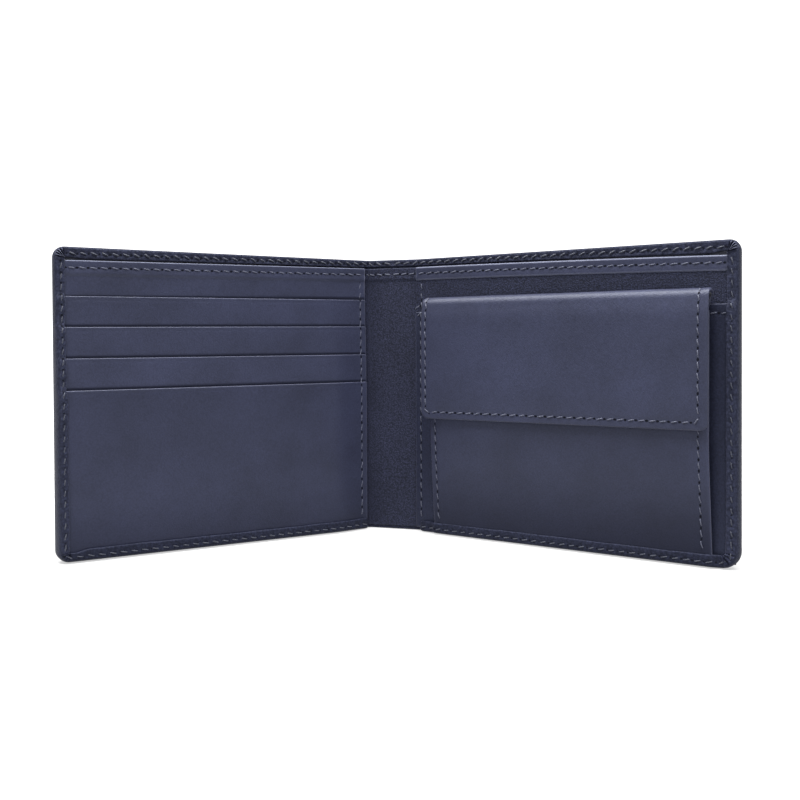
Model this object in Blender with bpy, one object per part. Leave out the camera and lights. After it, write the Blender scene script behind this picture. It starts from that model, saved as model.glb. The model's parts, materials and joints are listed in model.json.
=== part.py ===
"""Billfold wallet with card slots and a flapped coin pouch, standing open on its bottom edge.

Every piece is drawn in the frame of the panel that carries it:
  u      distance along the panel, outward from its fold axis (from the middle on the spine)
  depth  distance from the middle of the outer leather towards the inside of the wallet
  z      height above the bottom edge
All three are in millimetres. A panel's empty stands on its fold axis, turned to its rest angle.
"""
import math
from collections import namedtuple

import bmesh
import bpy
from mathutils import Matrix, Vector

MM = 0.001
ARC_STEPS = 5
ROUND_STEPS = 24
MERGE_DISTANCE = 0.001
CUT_BEYOND = 10.0
CUT_THROUGH = 20.0

# Overall size and the angles at which the wallet stands open
HEIGHT = 92.0
LEFT_WIDTH = 104.0
RIGHT_WIDTH = 106.0
SPINE_WIDTH = 17.85
HALF_ANGLE = 31.7
SPINE_ANGLE = 15.0

# Outer leather and its turned edges
COVER_THICKNESS = 1.0
COVER_WALL = 0.8
TURNED_EDGE_WIDTH = 3.0
TURNED_EDGE_HEIGHT = 4.0
TURNED_EDGE_THICKNESS = 0.6
TOP_BAND_HEIGHT = 3.7
TOP_BAND_DEPTH = 1.15
LEFT_EDGE_DEPTH = 5.25
RIGHT_EDGE_DEPTH = 4.4
CORNER_RADIUS = 3.5
LOWER_RIGHT_RADIUS = 5.0

# Clearances
FOLD_GAP = 0.65
INNER_START = 2.0
SPINE_INSET = 0.8
SEAM_GAP = 0.3

# Bill compartment
LINING = (0.65, 1.0)
LINING_TOP = 88.0
DIVIDER = (1.7, 2.4)
SPINE_DIVIDER = (1.15, 1.55)
DIVIDER_TOP = 88.6
PANEL_BOTTOM = 0.95

# Card slots, counted from the highest one
CARD_SPAN = (2.8, 102.9)
CARD_PITCH = 9.2
CARD_FIRST_TOP = 77.8
CARD_COUNT = 4
CARD_DROP = 49.0
CARD_FACE_HEIGHT = 14.0
CARD_DEPTH = 2.55
CARD_LAYER = 0.65
CARD_FACE_THICKNESS = 0.5
CARD_TONGUE_THICKNESS = 0.3
CARD_PANEL_THICKNESS = 0.6

# Slip pocket and coin pouch
SLIP_SPAN = (2.0, 104.9)
SLIP_TOP = 74.0
SLIP_DEPTH = (2.55, 3.05)
POUCH_SPAN = (8.8, 99.6)
POUCH_TOP = 73.5
POUCH_BOTTOM = 4.9
POUCH_BACK = (3.25, 3.95)
POUCH_LINING = (6.2, 6.5)
POUCH_FRONT = (6.65, 7.35)
POUCH_HEM = 0.5
GUSSET_FOLD = 5.0
GUSSET_THICKNESS = 0.4
GUSSET_ROOM = (4.15, 6.0)
GUSSET_DROP = 1.5

# Coin flap
FLAP_SPAN = (6.4, 98.9)
FLAP_BOTTOM = 38.8
FLAP_CREST = 78.7
FLAP_OUTER_DEPTH = 9.0
FLAP_THICKNESS = 0.7
FLAP_LINING = (7.85, 8.15)
FLAP_LINING_INSET = 1.2
FLAP_CORNERS = (2.5, 2.5, 0.0, 0.0)

# Press stud in the middle of the flap's lower edge
SNAP_U = 52.6
SNAP_Z = 47.5
SNAP_HOLE = 1.6
SNAP_WINDOW = 4.4
STUD_PROFILE = [(0.0, 6.2), (1.3, 6.2), (1.3, 7.45), (3.4, 7.45), (3.4, 7.62),
                (1.2, 7.62), (1.6, 7.85), (1.3, 8.08), (0.0, 8.08)]
EYELET_PROFILE = [(1.6, 6.15), (3.9, 6.15), (3.9, 6.5), (1.6, 6.5)]
SOCKET_PROFILE = [(2.0, 7.75), (4.0, 7.75), (4.0, 8.15), (2.0, 8.15)]

# Sewing thread
THREAD_WIDTH = 0.45
THREAD_LIFT = 0.12
THREAD_HEIGHT = 0.18
HEM_ROW = 86.4
TOP_ROW = 90.2
EDGE_ROW = 1.4
SLIP_ROW = 71.4
LEFT_EDGE_INSET = 1.8
LEFT_EDGE_CORNER = 1.5
RIGHT_EDGE_INSET = 1.5
RIGHT_EDGE_CORNER = 2.5
CARD_ROW_INSET = 2.5
PANEL_ROW_INSET = 0.9
POUCH_ROW_INSETS = (2.0, 2.6)
POUCH_ROW_END = 1.0
FLAP_ROW_INSETS = (1.8, 2.8)
FLAP_ROW_RISE = 2.3
FLAP_ROW_END = 1.0

# Depths and heights that follow from the dimensions above
COVER = (-COVER_THICKNESS / 2, COVER_THICKNESS / 2)
FLAP_LEATHER = (FLAP_OUTER_DEPTH - FLAP_THICKNESS, FLAP_OUTER_DEPTH)
ROLL_RADIUS = (FLAP_OUTER_DEPTH - POUCH_BACK[0]) / 2
FLAP_AXIS = (POUCH_BACK[0] + ROLL_RADIUS, FLAP_CREST - ROLL_RADIUS)
POUCH_AXIS = (POUCH_LINING[0], POUCH_BOTTOM - SEAM_GAP)
SQUARE = (0.0, 0.0, 0.0, 0.0)

Panel = namedtuple("Panel", "empty side")


# ---- materials ---------------------------------------------------------------------------------

def material(name, color, roughness, metallic=0.0):
    """Principled material with a plain colour."""
    made = bpy.data.materials.new(name)
    made.use_nodes = True
    shader = made.node_tree.nodes["Principled BSDF"]
    shader.inputs["Base Color"].default_value = (*color, 1.0)
    shader.inputs["Roughness"].default_value = roughness
    shader.inputs["Metallic"].default_value = metallic
    return made


def make_materials():
    """One material for each kind of stuff in the wallet."""
    return {
        "smooth": material("smooth_leather", (0.052, 0.060, 0.100), 0.52),
        "grained": material("grained_leather", (0.034, 0.039, 0.062), 0.66),
        "lining": material("lining_fabric", (0.030, 0.034, 0.052), 0.85),
        "thread": material("sewing_thread", (0.068, 0.076, 0.120), 0.70),
        "nickel": material("snap_nickel", (0.60, 0.60, 0.62), 0.30, 1.0),
    }


# ---- shapes ------------------------------------------------------------------------------------

def local(panel, u, depth, z):
    """Panel coordinates in millimetres as a point in the panel's empty."""
    return Vector((panel.side * u, -depth, z)) * MM


def rounded(span, height, radii=SQUARE):
    """Outline in u and z; radii are those of the near-bottom, far-bottom, far-top and near-top."""
    (near, far), (low, high) = span, height
    corners = [(near, low, 1, 1, 180), (far, low, -1, 1, 270), (far, high, -1, -1, 0), (near, high, 1, -1, 90)]
    points = []
    for (u, z, to_u, to_z, start), radius in zip(corners, radii):
        if radius == 0:
            points.append((u, z))
            continue
        for step in range(ARC_STEPS + 1):
            turn = math.radians(start + 90 * step / ARC_STEPS)
            arc_u = u + to_u * radius + radius * math.cos(turn)
            arc_z = z + to_z * radius + radius * math.sin(turn)
            points.append((arc_u, arc_z))
    return points


def add_object(name, bm, panel, stuff):
    """Closes the mesh's normals outwards and hangs it on the panel's empty."""
    bmesh.ops.recalc_face_normals(bm, faces=bm.faces)
    mesh = bpy.data.meshes.new(name)
    bm.to_mesh(mesh)
    bm.free()
    mesh.materials.append(stuff)
    made = bpy.data.objects.new(name, mesh)
    made.parent = panel.empty
    bpy.context.scene.collection.objects.link(made)
    return made


def prism(name, panel, stuff, outline, levels, along="depth"):
    """Closed prism over an outline: (u, z) along depth, (depth, z) along u, (u, depth) along z."""
    place = {
        "depth": lambda a, b, level: local(panel, a, level, b),
        "u": lambda a, b, level: local(panel, level, a, b),
        "z": lambda a, b, level: local(panel, a, b, level),
    }[along]
    bm = bmesh.new()
    rings = [[bm.verts.new(place(a, b, level)) for a, b in outline] for level in levels]
    bm.faces.new(rings[0])
    bm.faces.new(rings[1])
    count = len(outline)
    for i in range(count):
        j = (i + 1) % count
        bm.faces.new((rings[0][i], rings[0][j], rings[1][j], rings[1][i]))
    return add_object(name, bm, panel, stuff)


def plate(name, panel, stuff, span, height, depth, radii=SQUARE):
    """Flat piece with square or rounded corners."""
    return prism(name, panel, stuff, rounded(span, height, radii), depth)


def turned(name, panel, stuff, profile, u, z):
    """Round piece about an axis along the depth; the profile is a list of (radius, depth)."""
    bm = bmesh.new()
    verts = [bm.verts.new(local(panel, u, depth, z + radius)) for radius, depth in profile]
    edges = [bm.edges.new(pair) for pair in zip(verts, verts[1:])]
    if profile[0][0] > 0:
        edges.append(bm.edges.new((verts[-1], verts[0])))
    bmesh.ops.spin(bm, geom=verts + edges, cent=local(panel, u, 0, z), axis=(0, 1, 0),
                   angle=2 * math.pi, steps=ROUND_STEPS, use_merge=True)
    bmesh.ops.remove_doubles(bm, verts=bm.verts, dist=MERGE_DISTANCE * MM)
    return add_object(name, bm, panel, stuff)


def thread(name, panel, stuff, route, surface):
    """Row of sewing thread: one ribbon along a route in u and z, just above a surface's depth."""
    half = THREAD_WIDTH / 2
    left, right = [], []
    points = [Vector(point) for point in route]
    for i, point in enumerate(points):
        before = (point - points[i - 1]).normalized() if i else None
        after = (points[i + 1] - point).normalized() if i + 1 < len(points) else None
        before, after = before or after, after or before
        middle = (before + after).normalized()
        reach = half / middle.dot(before)
        offset = Vector((-middle.y, middle.x)) * reach
        left.append(point + offset)
        right.append(point - offset)
    low = surface + THREAD_LIFT
    return prism(name, panel, stuff, left + right[::-1], (low, low + THREAD_HEIGHT))


def cut(piece, cutter):
    """Takes the cutter's shape out of the piece."""
    cutter.hide_render = True
    cutter.display_type = "WIRE"
    boolean = piece.modifiers.new("cut_" + cutter.name, "BOOLEAN")
    boolean.operation = "DIFFERENCE"
    boolean.solver = "EXACT"
    boolean.object = cutter


# ---- panels and their empties ------------------------------------------------------------------

def turn(panel_angle):
    """Rotation about the vertical, in degrees."""
    return Matrix.Rotation(math.radians(panel_angle), 4, "Z")


def panel_places():
    """Each panel's place with the middle of the spine at the origin."""
    spine = turn(-SPINE_ANGLE)
    fold = SPINE_WIDTH / 2 * MM
    left = Matrix.Translation(spine @ Vector((-fold, 0, 0))) @ turn(HALF_ANGLE)
    right = Matrix.Translation(spine @ Vector((fold, 0, 0))) @ turn(-HALF_ANGLE)
    return {"spine": spine, "left": left, "right": right}


def plan_middle(places):
    """Middle of the covers' bounding box, seen from above."""
    spine_end = SPINE_WIDTH / 2 - FOLD_GAP
    outline = [
        ("left", -LEFT_WIDTH, COVER[0]), ("left", -LEFT_WIDTH, LEFT_EDGE_DEPTH + TURNED_EDGE_THICKNESS),
        ("right", RIGHT_WIDTH, COVER[0]), ("right", RIGHT_WIDTH, RIGHT_EDGE_DEPTH + TURNED_EDGE_THICKNESS),
        ("spine", -spine_end, COVER[0]), ("spine", spine_end, COVER[0]),
    ]
    points = [places[name] @ (Vector((x, -depth, 0)) * MM) for name, x, depth in outline]
    xs = [point.x for point in points]
    ys = [point.y for point in points]
    return Vector(((min(xs) + max(xs)) / 2, (min(ys) + max(ys)) / 2, 0))


def empty(name, place, parent=None):
    """Empty at a place given in its parent's frame."""
    made = bpy.data.objects.new(name, None)
    bpy.context.scene.collection.objects.link(made)
    made.parent = parent
    made.matrix_local = place
    return made


def make_panels():
    """The spine, both halves, and the two pieces that hinge on the right half."""
    places = panel_places()
    shift = Matrix.Translation(-plan_middle(places))
    panels = {
        "spine": Panel(empty("spine_frame", shift @ places["spine"]), 1),
        "left": Panel(empty("left_fold_axis", shift @ places["left"]), -1),
        "right": Panel(empty("right_fold_axis", shift @ places["right"]), 1),
    }
    for name, (depth, z) in (("flap", FLAP_AXIS), ("pouch", POUCH_AXIS)):
        axis = Vector((0, -depth, z)) * MM
        hinge = empty(name + "_axis", Matrix.Translation(axis), panels["right"].empty)
        drawing = empty(name + "_drawing", Matrix.Translation(-axis), hinge)
        panels[name] = Panel(drawing, 1)
    return panels


# ---- outer leather -----------------------------------------------------------------------------

def make_half_cover(name, panel, stuff, width, edge_depth, radii):
    """Half of the outer leather: a sheet whose outer and bottom edges are turned in over the stack."""
    front = edge_depth + TURNED_EDGE_THICKNESS
    cover = plate(name, panel, stuff, (FOLD_GAP, width), (0, HEIGHT), (COVER[0], front), radii)
    wall = width - COVER_WALL
    band = HEIGHT - TOP_BAND_HEIGHT
    hollows = {
        "stack": ((-CUT_BEYOND, wall), (COVER_WALL, band), (COVER[1], edge_depth)),
        "top": ((-CUT_BEYOND, wall), (band - CUT_BEYOND, HEIGHT + CUT_BEYOND), (TOP_BAND_DEPTH, edge_depth)),
        "window": ((-CUT_BEYOND, width - TURNED_EDGE_WIDTH), (TURNED_EDGE_HEIGHT, HEIGHT + CUT_BEYOND),
                   (edge_depth - SEAM_GAP, front + CUT_BEYOND)),
        "fold": ((-CUT_BEYOND, INNER_START), (-CUT_BEYOND, HEIGHT + CUT_BEYOND), (COVER[1], front + CUT_BEYOND)),
    }
    for hollow, (span, height, depth) in hollows.items():
        cut(cover, plate(f"{name}_{hollow}_cutter", panel, stuff, span, height, depth))


def make_spine_cover(panel, stuff):
    """Outer leather of the spine, with its top and bottom edges turned in."""
    half = SPINE_WIDTH / 2 - FOLD_GAP
    inner = SPINE_WIDTH / 2 - SPINE_INSET
    edge_front = LINING[1]
    profile = rounded((-half, half), (0, HEIGHT))
    cover = prism("cover_spine", panel, stuff, profile, (COVER[0], edge_front))
    band = HEIGHT - TOP_BAND_HEIGHT
    cut(cover, plate("spine_hollow_cutter", panel, stuff, (-CUT_BEYOND, CUT_BEYOND), (COVER_WALL, band),
                     (COVER[1], edge_front + CUT_BEYOND)))
    for side, span in (("left", (-half - CUT_BEYOND, -inner)), ("right", (inner, half + CUT_BEYOND))):
        cut(cover, plate(f"spine_{side}_cutter", panel, stuff, span, (-CUT_BEYOND, HEIGHT + CUT_BEYOND),
                         (COVER[1], edge_front + CUT_BEYOND)))


def make_covers(panels, stuffs):
    """Outer leather in three pieces, meeting at the folds."""
    leather = stuffs["smooth"]
    make_half_cover("cover_left", panels["left"], leather, LEFT_WIDTH, LEFT_EDGE_DEPTH,
                    (0, CORNER_RADIUS, CORNER_RADIUS, 0))
    make_half_cover("cover_right", panels["right"], leather, RIGHT_WIDTH, RIGHT_EDGE_DEPTH,
                    (0, LOWER_RIGHT_RADIUS, CORNER_RADIUS, 0))
    make_spine_cover(panels["spine"], leather)


# ---- bill compartment --------------------------------------------------------------------------

def make_bill_compartment(panels, stuffs):
    """Fabric on the outer leather, and the grained divider that closes the compartment in front."""
    spans = {
        "left": (INNER_START, LEFT_WIDTH - COVER_WALL - SEAM_GAP),
        "right": (INNER_START, RIGHT_WIDTH - COVER_WALL - SEAM_GAP),
        "spine": (SPINE_INSET - SPINE_WIDTH / 2, SPINE_WIDTH / 2 - SPINE_INSET),
    }
    for side, span in spans.items():
        panel = panels[side]
        divider = SPINE_DIVIDER if side == "spine" else DIVIDER
        plate("bill_lining_" + side, panel, stuffs["lining"], span, (COVER_WALL + SEAM_GAP, LINING_TOP), LINING)
        plate("divider_" + side, panel, stuffs["grained"], span, (COVER_WALL + SEAM_GAP, DIVIDER_TOP), divider)
        row = (span[0] + THREAD_WIDTH, span[1] - THREAD_WIDTH)
        thread("hem_thread_" + side, panel, stuffs["thread"], [(row[0], HEM_ROW), (row[1], HEM_ROW)], divider[1])
        band_depth = LINING[1] if side == "spine" else TOP_BAND_DEPTH
        thread("top_thread_" + side, panel, stuffs["thread"], [(row[0], TOP_ROW), (row[1], TOP_ROW)], band_depth)


# ---- left half ---------------------------------------------------------------------------------

def make_card_slots(panel, stuffs):
    """Stepped card pockets: leather faces with fabric tongues, and a tall leather panel in front."""
    for i in range(CARD_COUNT):
        top = CARD_FIRST_TOP - i * CARD_PITCH
        back = CARD_DEPTH + i * CARD_LAYER
        if i == CARD_COUNT - 1:
            plate("card_front_panel", panel, stuffs["smooth"], CARD_SPAN, (PANEL_BOTTOM + SEAM_GAP, top),
                  (back, back + CARD_PANEL_THICKNESS))
            continue
        face_bottom = top - CARD_FACE_HEIGHT
        plate(f"card_slot_{i + 1}", panel, stuffs["smooth"], CARD_SPAN, (face_bottom, top),
              (back, back + CARD_FACE_THICKNESS))
        plate(f"card_tongue_{i + 1}", panel, stuffs["lining"], CARD_SPAN, (top - CARD_DROP, face_bottom - SEAM_GAP),
              (back, back + CARD_TONGUE_THICKNESS))


def make_left_threads(panel, stuff):
    """Rows round the turned edge and down the inner edge of the card pockets."""
    edge_u = LEFT_WIDTH - LEFT_EDGE_INSET
    corner = LEFT_EDGE_CORNER
    edge_front = LEFT_EDGE_DEPTH + TURNED_EDGE_THICKNESS
    start = INNER_START + THREAD_WIDTH
    thread("edge_thread_left", panel, stuff,
           [(start, EDGE_ROW), (edge_u - corner, EDGE_ROW), (edge_u, EDGE_ROW + corner), (edge_u, TOP_ROW)],
           edge_front)
    panel_front = CARD_DEPTH + (CARD_COUNT - 1) * CARD_LAYER + CARD_PANEL_THICKNESS
    inner_u = CARD_SPAN[0] + CARD_ROW_INSET
    thread("card_thread", panel, stuff,
           [(inner_u, TURNED_EDGE_HEIGHT + SEAM_GAP), (inner_u, CARD_FIRST_TOP)], panel_front)


# ---- right half --------------------------------------------------------------------------------

def make_pouch_back(panel, stuffs):
    """Slip pocket, the pouch's back wall and its two folded sides."""
    plate("slip_pocket", panel, stuffs["smooth"], SLIP_SPAN, (PANEL_BOTTOM + SEAM_GAP, SLIP_TOP), SLIP_DEPTH)
    plate("pouch_back", panel, stuffs["smooth"], POUCH_SPAN, (PANEL_BOTTOM + SEAM_GAP, FLAP_AXIS[1] - SEAM_GAP),
          POUCH_BACK)
    for side, edge, inward in (("inner", POUCH_SPAN[0], 1), ("outer", POUCH_SPAN[1], -1)):
        back, front = GUSSET_ROOM
        middle = (back + front) / 2
        apex = edge + inward * GUSSET_FOLD
        skin = GUSSET_THICKNESS
        fold = [(edge, back), (apex, middle), (edge, front), (edge, front - skin),
                (apex - 2 * inward * skin, middle), (edge, back + skin)]
        prism("pouch_gusset_" + side, panel, stuffs["smooth"], fold, (POUCH_BOTTOM, POUCH_TOP - GUSSET_DROP),
              along="z")


def make_flap_roll(panel, stuff):
    """The leather bridge that rolls over from the pouch's back wall to the flap."""
    depth, z = FLAP_AXIS
    arcs = []
    for radius in (ROLL_RADIUS, ROLL_RADIUS - FLAP_THICKNESS):
        turns = [math.pi * step / ROUND_STEPS for step in range(ROUND_STEPS + 1)]
        arcs.append([(depth + radius * math.cos(t), z + radius * math.sin(t)) for t in turns])
    prism("flap_roll", panel, stuff, arcs[0] + arcs[1][::-1], FLAP_SPAN, along="u")


def make_right_threads(panel, stuff):
    """Rows round the turned edge, down the inner edge and along the slip pocket's top."""
    edge_u = RIGHT_WIDTH - RIGHT_EDGE_INSET
    corner = RIGHT_EDGE_CORNER
    start = INNER_START + THREAD_WIDTH
    thread("edge_thread_right", panel, stuff,
           [(start, EDGE_ROW), (edge_u - corner, EDGE_ROW), (edge_u, EDGE_ROW + corner), (edge_u, TOP_ROW)],
           RIGHT_EDGE_DEPTH + TURNED_EDGE_THICKNESS)
    inner_u = SLIP_SPAN[0] + PANEL_ROW_INSET
    thread("panel_thread", panel, stuff,
           [(inner_u, TURNED_EDGE_HEIGHT + SEAM_GAP), (inner_u, SLIP_ROW - THREAD_WIDTH)], SLIP_DEPTH[1])
    slip_end = RIGHT_WIDTH - TURNED_EDGE_WIDTH - SEAM_GAP
    for side, row in (("inner", (inner_u, POUCH_SPAN[0] - SEAM_GAP)), ("outer", (POUCH_SPAN[1] + SEAM_GAP, slip_end))):
        thread("slip_thread_" + side, panel, stuff, [(row[0], SLIP_ROW), (row[1], SLIP_ROW)], SLIP_DEPTH[1])


# ---- pouch front and flap ----------------------------------------------------------------------

def make_pouch_front(panel, stuffs):
    """Front wall of the coin pouch, with its fabric backing and the stud of the press fastener."""
    front = plate("pouch_front", panel, stuffs["smooth"], POUCH_SPAN, (POUCH_BOTTOM, POUCH_TOP), POUCH_FRONT)
    cut(front, turned("stud_hole_cutter", panel, stuffs["nickel"],
                      [(0, 0), (SNAP_HOLE, 0), (SNAP_HOLE, CUT_THROUGH), (0, CUT_THROUGH)], SNAP_U, SNAP_Z))
    lining_span = (POUCH_SPAN[0] + POUCH_HEM, POUCH_SPAN[1] - POUCH_HEM)
    lining = plate("pouch_lining", panel, stuffs["lining"], lining_span,
                   (POUCH_BOTTOM + POUCH_HEM, POUCH_TOP - POUCH_HEM), POUCH_LINING)
    cut(lining, turned("eyelet_window_cutter", panel, stuffs["nickel"],
                       [(0, 0), (SNAP_WINDOW, 0), (SNAP_WINDOW, CUT_THROUGH), (0, CUT_THROUGH)], SNAP_U, SNAP_Z))
    turned("snap_stud", panel, stuffs["nickel"], STUD_PROFILE, SNAP_U, SNAP_Z)
    turned("snap_eyelet", panel, stuffs["nickel"], EYELET_PROFILE, SNAP_U, SNAP_Z)
    inner, outer = POUCH_ROW_INSETS
    for side, u in (("inner", POUCH_SPAN[0] + inner), ("outer", POUCH_SPAN[1] - outer)):
        thread("pouch_thread_" + side, panel, stuffs["thread"],
               [(u, POUCH_BOTTOM + POUCH_ROW_END), (u, POUCH_TOP - POUCH_ROW_END)], POUCH_FRONT[1])


def make_flap(panel, stuffs):
    """Flap that closes the pouch, its fabric backing, and the socket of the press fastener."""
    top = FLAP_AXIS[1] - SEAM_GAP
    plate("coin_flap", panel, stuffs["smooth"], FLAP_SPAN, (FLAP_BOTTOM, top), FLAP_LEATHER, FLAP_CORNERS)
    inset = FLAP_LINING_INSET
    lining = plate("flap_lining", panel, stuffs["lining"], (FLAP_SPAN[0] + inset, FLAP_SPAN[1] - inset),
                   (FLAP_BOTTOM + inset, top), FLAP_LINING, FLAP_CORNERS)
    cut(lining, turned("socket_window_cutter", panel, stuffs["nickel"],
                       [(0, 0), (SNAP_WINDOW, 0), (SNAP_WINDOW, CUT_THROUGH), (0, CUT_THROUGH)], SNAP_U, SNAP_Z))
    turned("snap_socket", panel, stuffs["nickel"], SOCKET_PROFILE, SNAP_U, SNAP_Z)
    row_left, row_right = FLAP_SPAN[0] + FLAP_ROW_INSETS[0], FLAP_SPAN[1] - FLAP_ROW_INSETS[1]
    row_bottom, row_top = FLAP_BOTTOM + FLAP_ROW_RISE, top - FLAP_ROW_END
    thread("flap_thread", panel, stuffs["thread"],
           [(row_left, row_top), (row_left, row_bottom), (row_right, row_bottom), (row_right, row_top)],
           FLAP_LEATHER[1])


def main():
    """Builds the wallet in an empty scene."""
    for leftover in list(bpy.data.objects):
        bpy.data.objects.remove(leftover, do_unlink=True)
    stuffs = make_materials()
    panels = make_panels()
    make_covers(panels, stuffs)
    make_bill_compartment(panels, stuffs)
    make_card_slots(panels["left"], stuffs)
    make_left_threads(panels["left"], stuffs["thread"])
    make_pouch_back(panels["right"], stuffs)
    make_flap_roll(panels["right"], stuffs["smooth"])
    make_right_threads(panels["right"], stuffs["thread"])
    make_pouch_front(panels["pouch"], stuffs)
    make_flap(panels["flap"], stuffs)


main()
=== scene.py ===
"""Looks of the billfold wallet: leather, lining, stitching and studio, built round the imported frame.

Leather and fabric pieces are drawn in the flat sheet they were cut from and then put in place:
  x      distance outward from a half's fold axis, negative on the spine (millimetres)
  depth  distance from the middle of the outer leather towards the inside of the wallet
  z      height above the bottom edge
A Half turns these into the frame's coordinates, with a round bend at its fold.
"""
import json
from dataclasses import dataclass
from math import ceil, cos, pi, radians, sin, tan

import bmesh
import bpy
import numpy as np
from mathutils import Matrix, Vector


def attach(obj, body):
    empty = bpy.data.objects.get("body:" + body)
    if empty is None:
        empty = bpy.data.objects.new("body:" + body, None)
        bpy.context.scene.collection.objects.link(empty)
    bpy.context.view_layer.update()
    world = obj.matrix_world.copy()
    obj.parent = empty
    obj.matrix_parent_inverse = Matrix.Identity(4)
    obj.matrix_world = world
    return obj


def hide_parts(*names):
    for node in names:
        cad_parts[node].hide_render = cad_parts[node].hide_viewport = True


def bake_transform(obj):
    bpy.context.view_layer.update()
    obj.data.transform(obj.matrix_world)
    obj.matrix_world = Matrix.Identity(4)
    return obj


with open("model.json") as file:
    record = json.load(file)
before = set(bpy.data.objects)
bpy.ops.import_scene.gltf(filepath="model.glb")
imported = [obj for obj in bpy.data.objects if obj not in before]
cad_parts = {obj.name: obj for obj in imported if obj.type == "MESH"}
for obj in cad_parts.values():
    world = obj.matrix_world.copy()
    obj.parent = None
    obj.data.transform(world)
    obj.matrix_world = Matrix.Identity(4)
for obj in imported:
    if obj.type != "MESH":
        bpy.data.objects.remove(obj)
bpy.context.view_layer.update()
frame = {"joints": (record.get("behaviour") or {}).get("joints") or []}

MM = 0.001
TURN = 2 * pi
JOINTS = {joint["name"]: joint for joint in frame["joints"]}

# Outer leather
HEIGHT = 92.0
LEFT_WIDTH = 104.0
RIGHT_WIDTH = 106.0
COVER_BACK = -0.5
COVER_INSIDE = 0.5
COVER_WALL = 0.8
FOLD_RADIUS = 3.2
EDGE_HEIGHT = 4.0
EDGE_INSET = 2.2
EDGE_ROW = 1.95
EDGE_SKIN = 0.6
SIDE_FRONT = 3.25
SPINE_EDGE_FRONT = 1.05
SPINE_EDGE_HEIGHT = 1.2
BAND_DEPTH = 1.2
BAND_GAP = 0.5
FRONT_ROUND = 1.6
BACK_ROUND = 0.8
ROUND_STEPS = 6
TOP_RADIUS = 3.5
LIP = 0.28

# Layers: depths of their front faces, and heights
SPINE_FRONT = 1.6
DIVIDER_BOTTOM = 1.3
DIVIDER_TOP = 88.6
DIVIDER_FACE = 2.45
LEDGE_TOP = 89.15
HEM_HEIGHT = 4.2
HEM_LINE = DIVIDER_TOP - HEM_HEIGHT
HEM_ROW = DIVIDER_TOP - 2.15
HEM_THICKNESS = 0.32
CARD_TOPS = (77.8, 68.8, 59.3, 50.0)
CARD_STEP = 0.65
CARD_SEAM = 4.7
CARD_BACKING = 2.55
CARD_LEATHER = 0.5
CARD_DEPTH = 49.0
SLIP_TOP = 74.0
SLIP_FRONT = 3.05
PANEL_ROW = 2.7
POUCH_SPAN = (8.8, 98.8)
POUCH_TOP = 73.5
POUCH_FRONT = 7.35
POUCH_LOW = 4.42
FLAP_SPAN = (6.4, 99.4)
FLAP_BOTTOM = 38.8
FLAP_CREST = 78.7
FLAP_FRONT = 9.0
FLAP_BACK = 3.25
FLAP_SEAM = (FLAP_SPAN[0] + 1.75, FLAP_SPAN[1] - 2.75)
FLAP_SEAM_LOW = FLAP_BOTTOM + 2.25
ROLL = (FLAP_FRONT - FLAP_BACK) / 2
ROLL_LENGTH = pi * ROLL
AXIS_DEPTH = FLAP_BACK + ROLL
AXIS_Z = FLAP_CREST - ROLL
SNAP = (52.6, 47.5)
SNAP_SIDES = 48

# Sewing
STITCH_PITCH = 3.15
STITCH_LENGTH = 2.35
STITCH_RADIUS = 0.17
STITCH_SLANT = 12
STITCH_SIDES = 8
TOP_SLANT = 24
TOP_STITCH_RADIUS = 0.24
NEEDLE_HOLE = 0.35
GROOVE_WIDTH = 0.75
GROOVE_DEPTH = 0.14


# ---- places ----

def rotated(vector, angle):
    """Plan vector turned about the vertical."""
    c, s = cos(angle), sin(angle)
    return np.array([c * vector[0] - s * vector[1], s * vector[0] + c * vector[1]])


def arrays(*values):
    """Numbers and arrays as float arrays of one shape."""
    return np.broadcast_arrays(*(np.asarray(value, float) for value in values))


class Half:
    """One half of the wallet with its side of the spine, bent about the fold between them."""

    def __init__(self, axis, spine_out, spine_inward, bend):
        self.axis = np.array(axis[:2]) / MM
        self.spine_out = spine_out
        self.spine_inward = spine_inward
        self.bend = bend
        self.out = rotated(spine_out, bend)
        self.inward = rotated(spine_inward, bend)
        self.reach = FOLD_RADIUS * tan(abs(bend) / 2)

    def place(self, x, depth, z):
        """Sheet coordinates in millimetres as points of the frame, in metres."""
        x, depth, z = arrays(x, depth, z)
        flat = self.axis + x[..., None] * self.out + depth[..., None] * self.inward
        spine = self.axis + x[..., None] * self.spine_out + depth[..., None] * self.spine_inward
        centre = self.axis + self.reach * self.out + FOLD_RADIUS * self.inward
        turn = self.bend * np.clip((x + self.reach) / (2 * self.reach), 0, 1)
        c, s = np.cos(turn), np.sin(turn)
        back = -self.spine_inward
        ray = np.stack([c * back[0] - s * back[1], s * back[0] + c * back[1]], -1)
        bent = centre + (FOLD_RADIUS - depth)[..., None] * ray
        plan = np.where((x <= -self.reach)[..., None], spine, bent)
        plan = np.where((x >= self.reach)[..., None], flat, plan)
        return np.concatenate([plan, z[..., None]], -1) * MM

    def point(self, x, depth, z):
        """One place as a plain point."""
        return tuple(float(value) for value in self.place(x, depth, z))


def make_halves():
    """Both halves, from the frame's fold axes and their ranges down to flat, and the spine's width."""
    left, right = (np.array(JOINTS[name]["pos_m"][:2]) for name in ("left_fold", "right_fold"))
    along = (right - left) / np.linalg.norm(right - left)
    inward = rotated(along, -pi / 2)
    left_bend, right_bend = (radians(JOINTS[name]["range_deg"][0]) for name in ("left_fold", "right_fold"))
    width = float(np.linalg.norm(right - left)) / MM
    return Half(left, -along, inward, -left_bend), Half(right, along, inward, right_bend), width


LEFT, RIGHT, SPINE_WIDTH = make_halves()
BODY = {LEFT: "left_half", RIGHT: "right_half"}
MID_SPINE = -SPINE_WIDTH / 2

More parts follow.
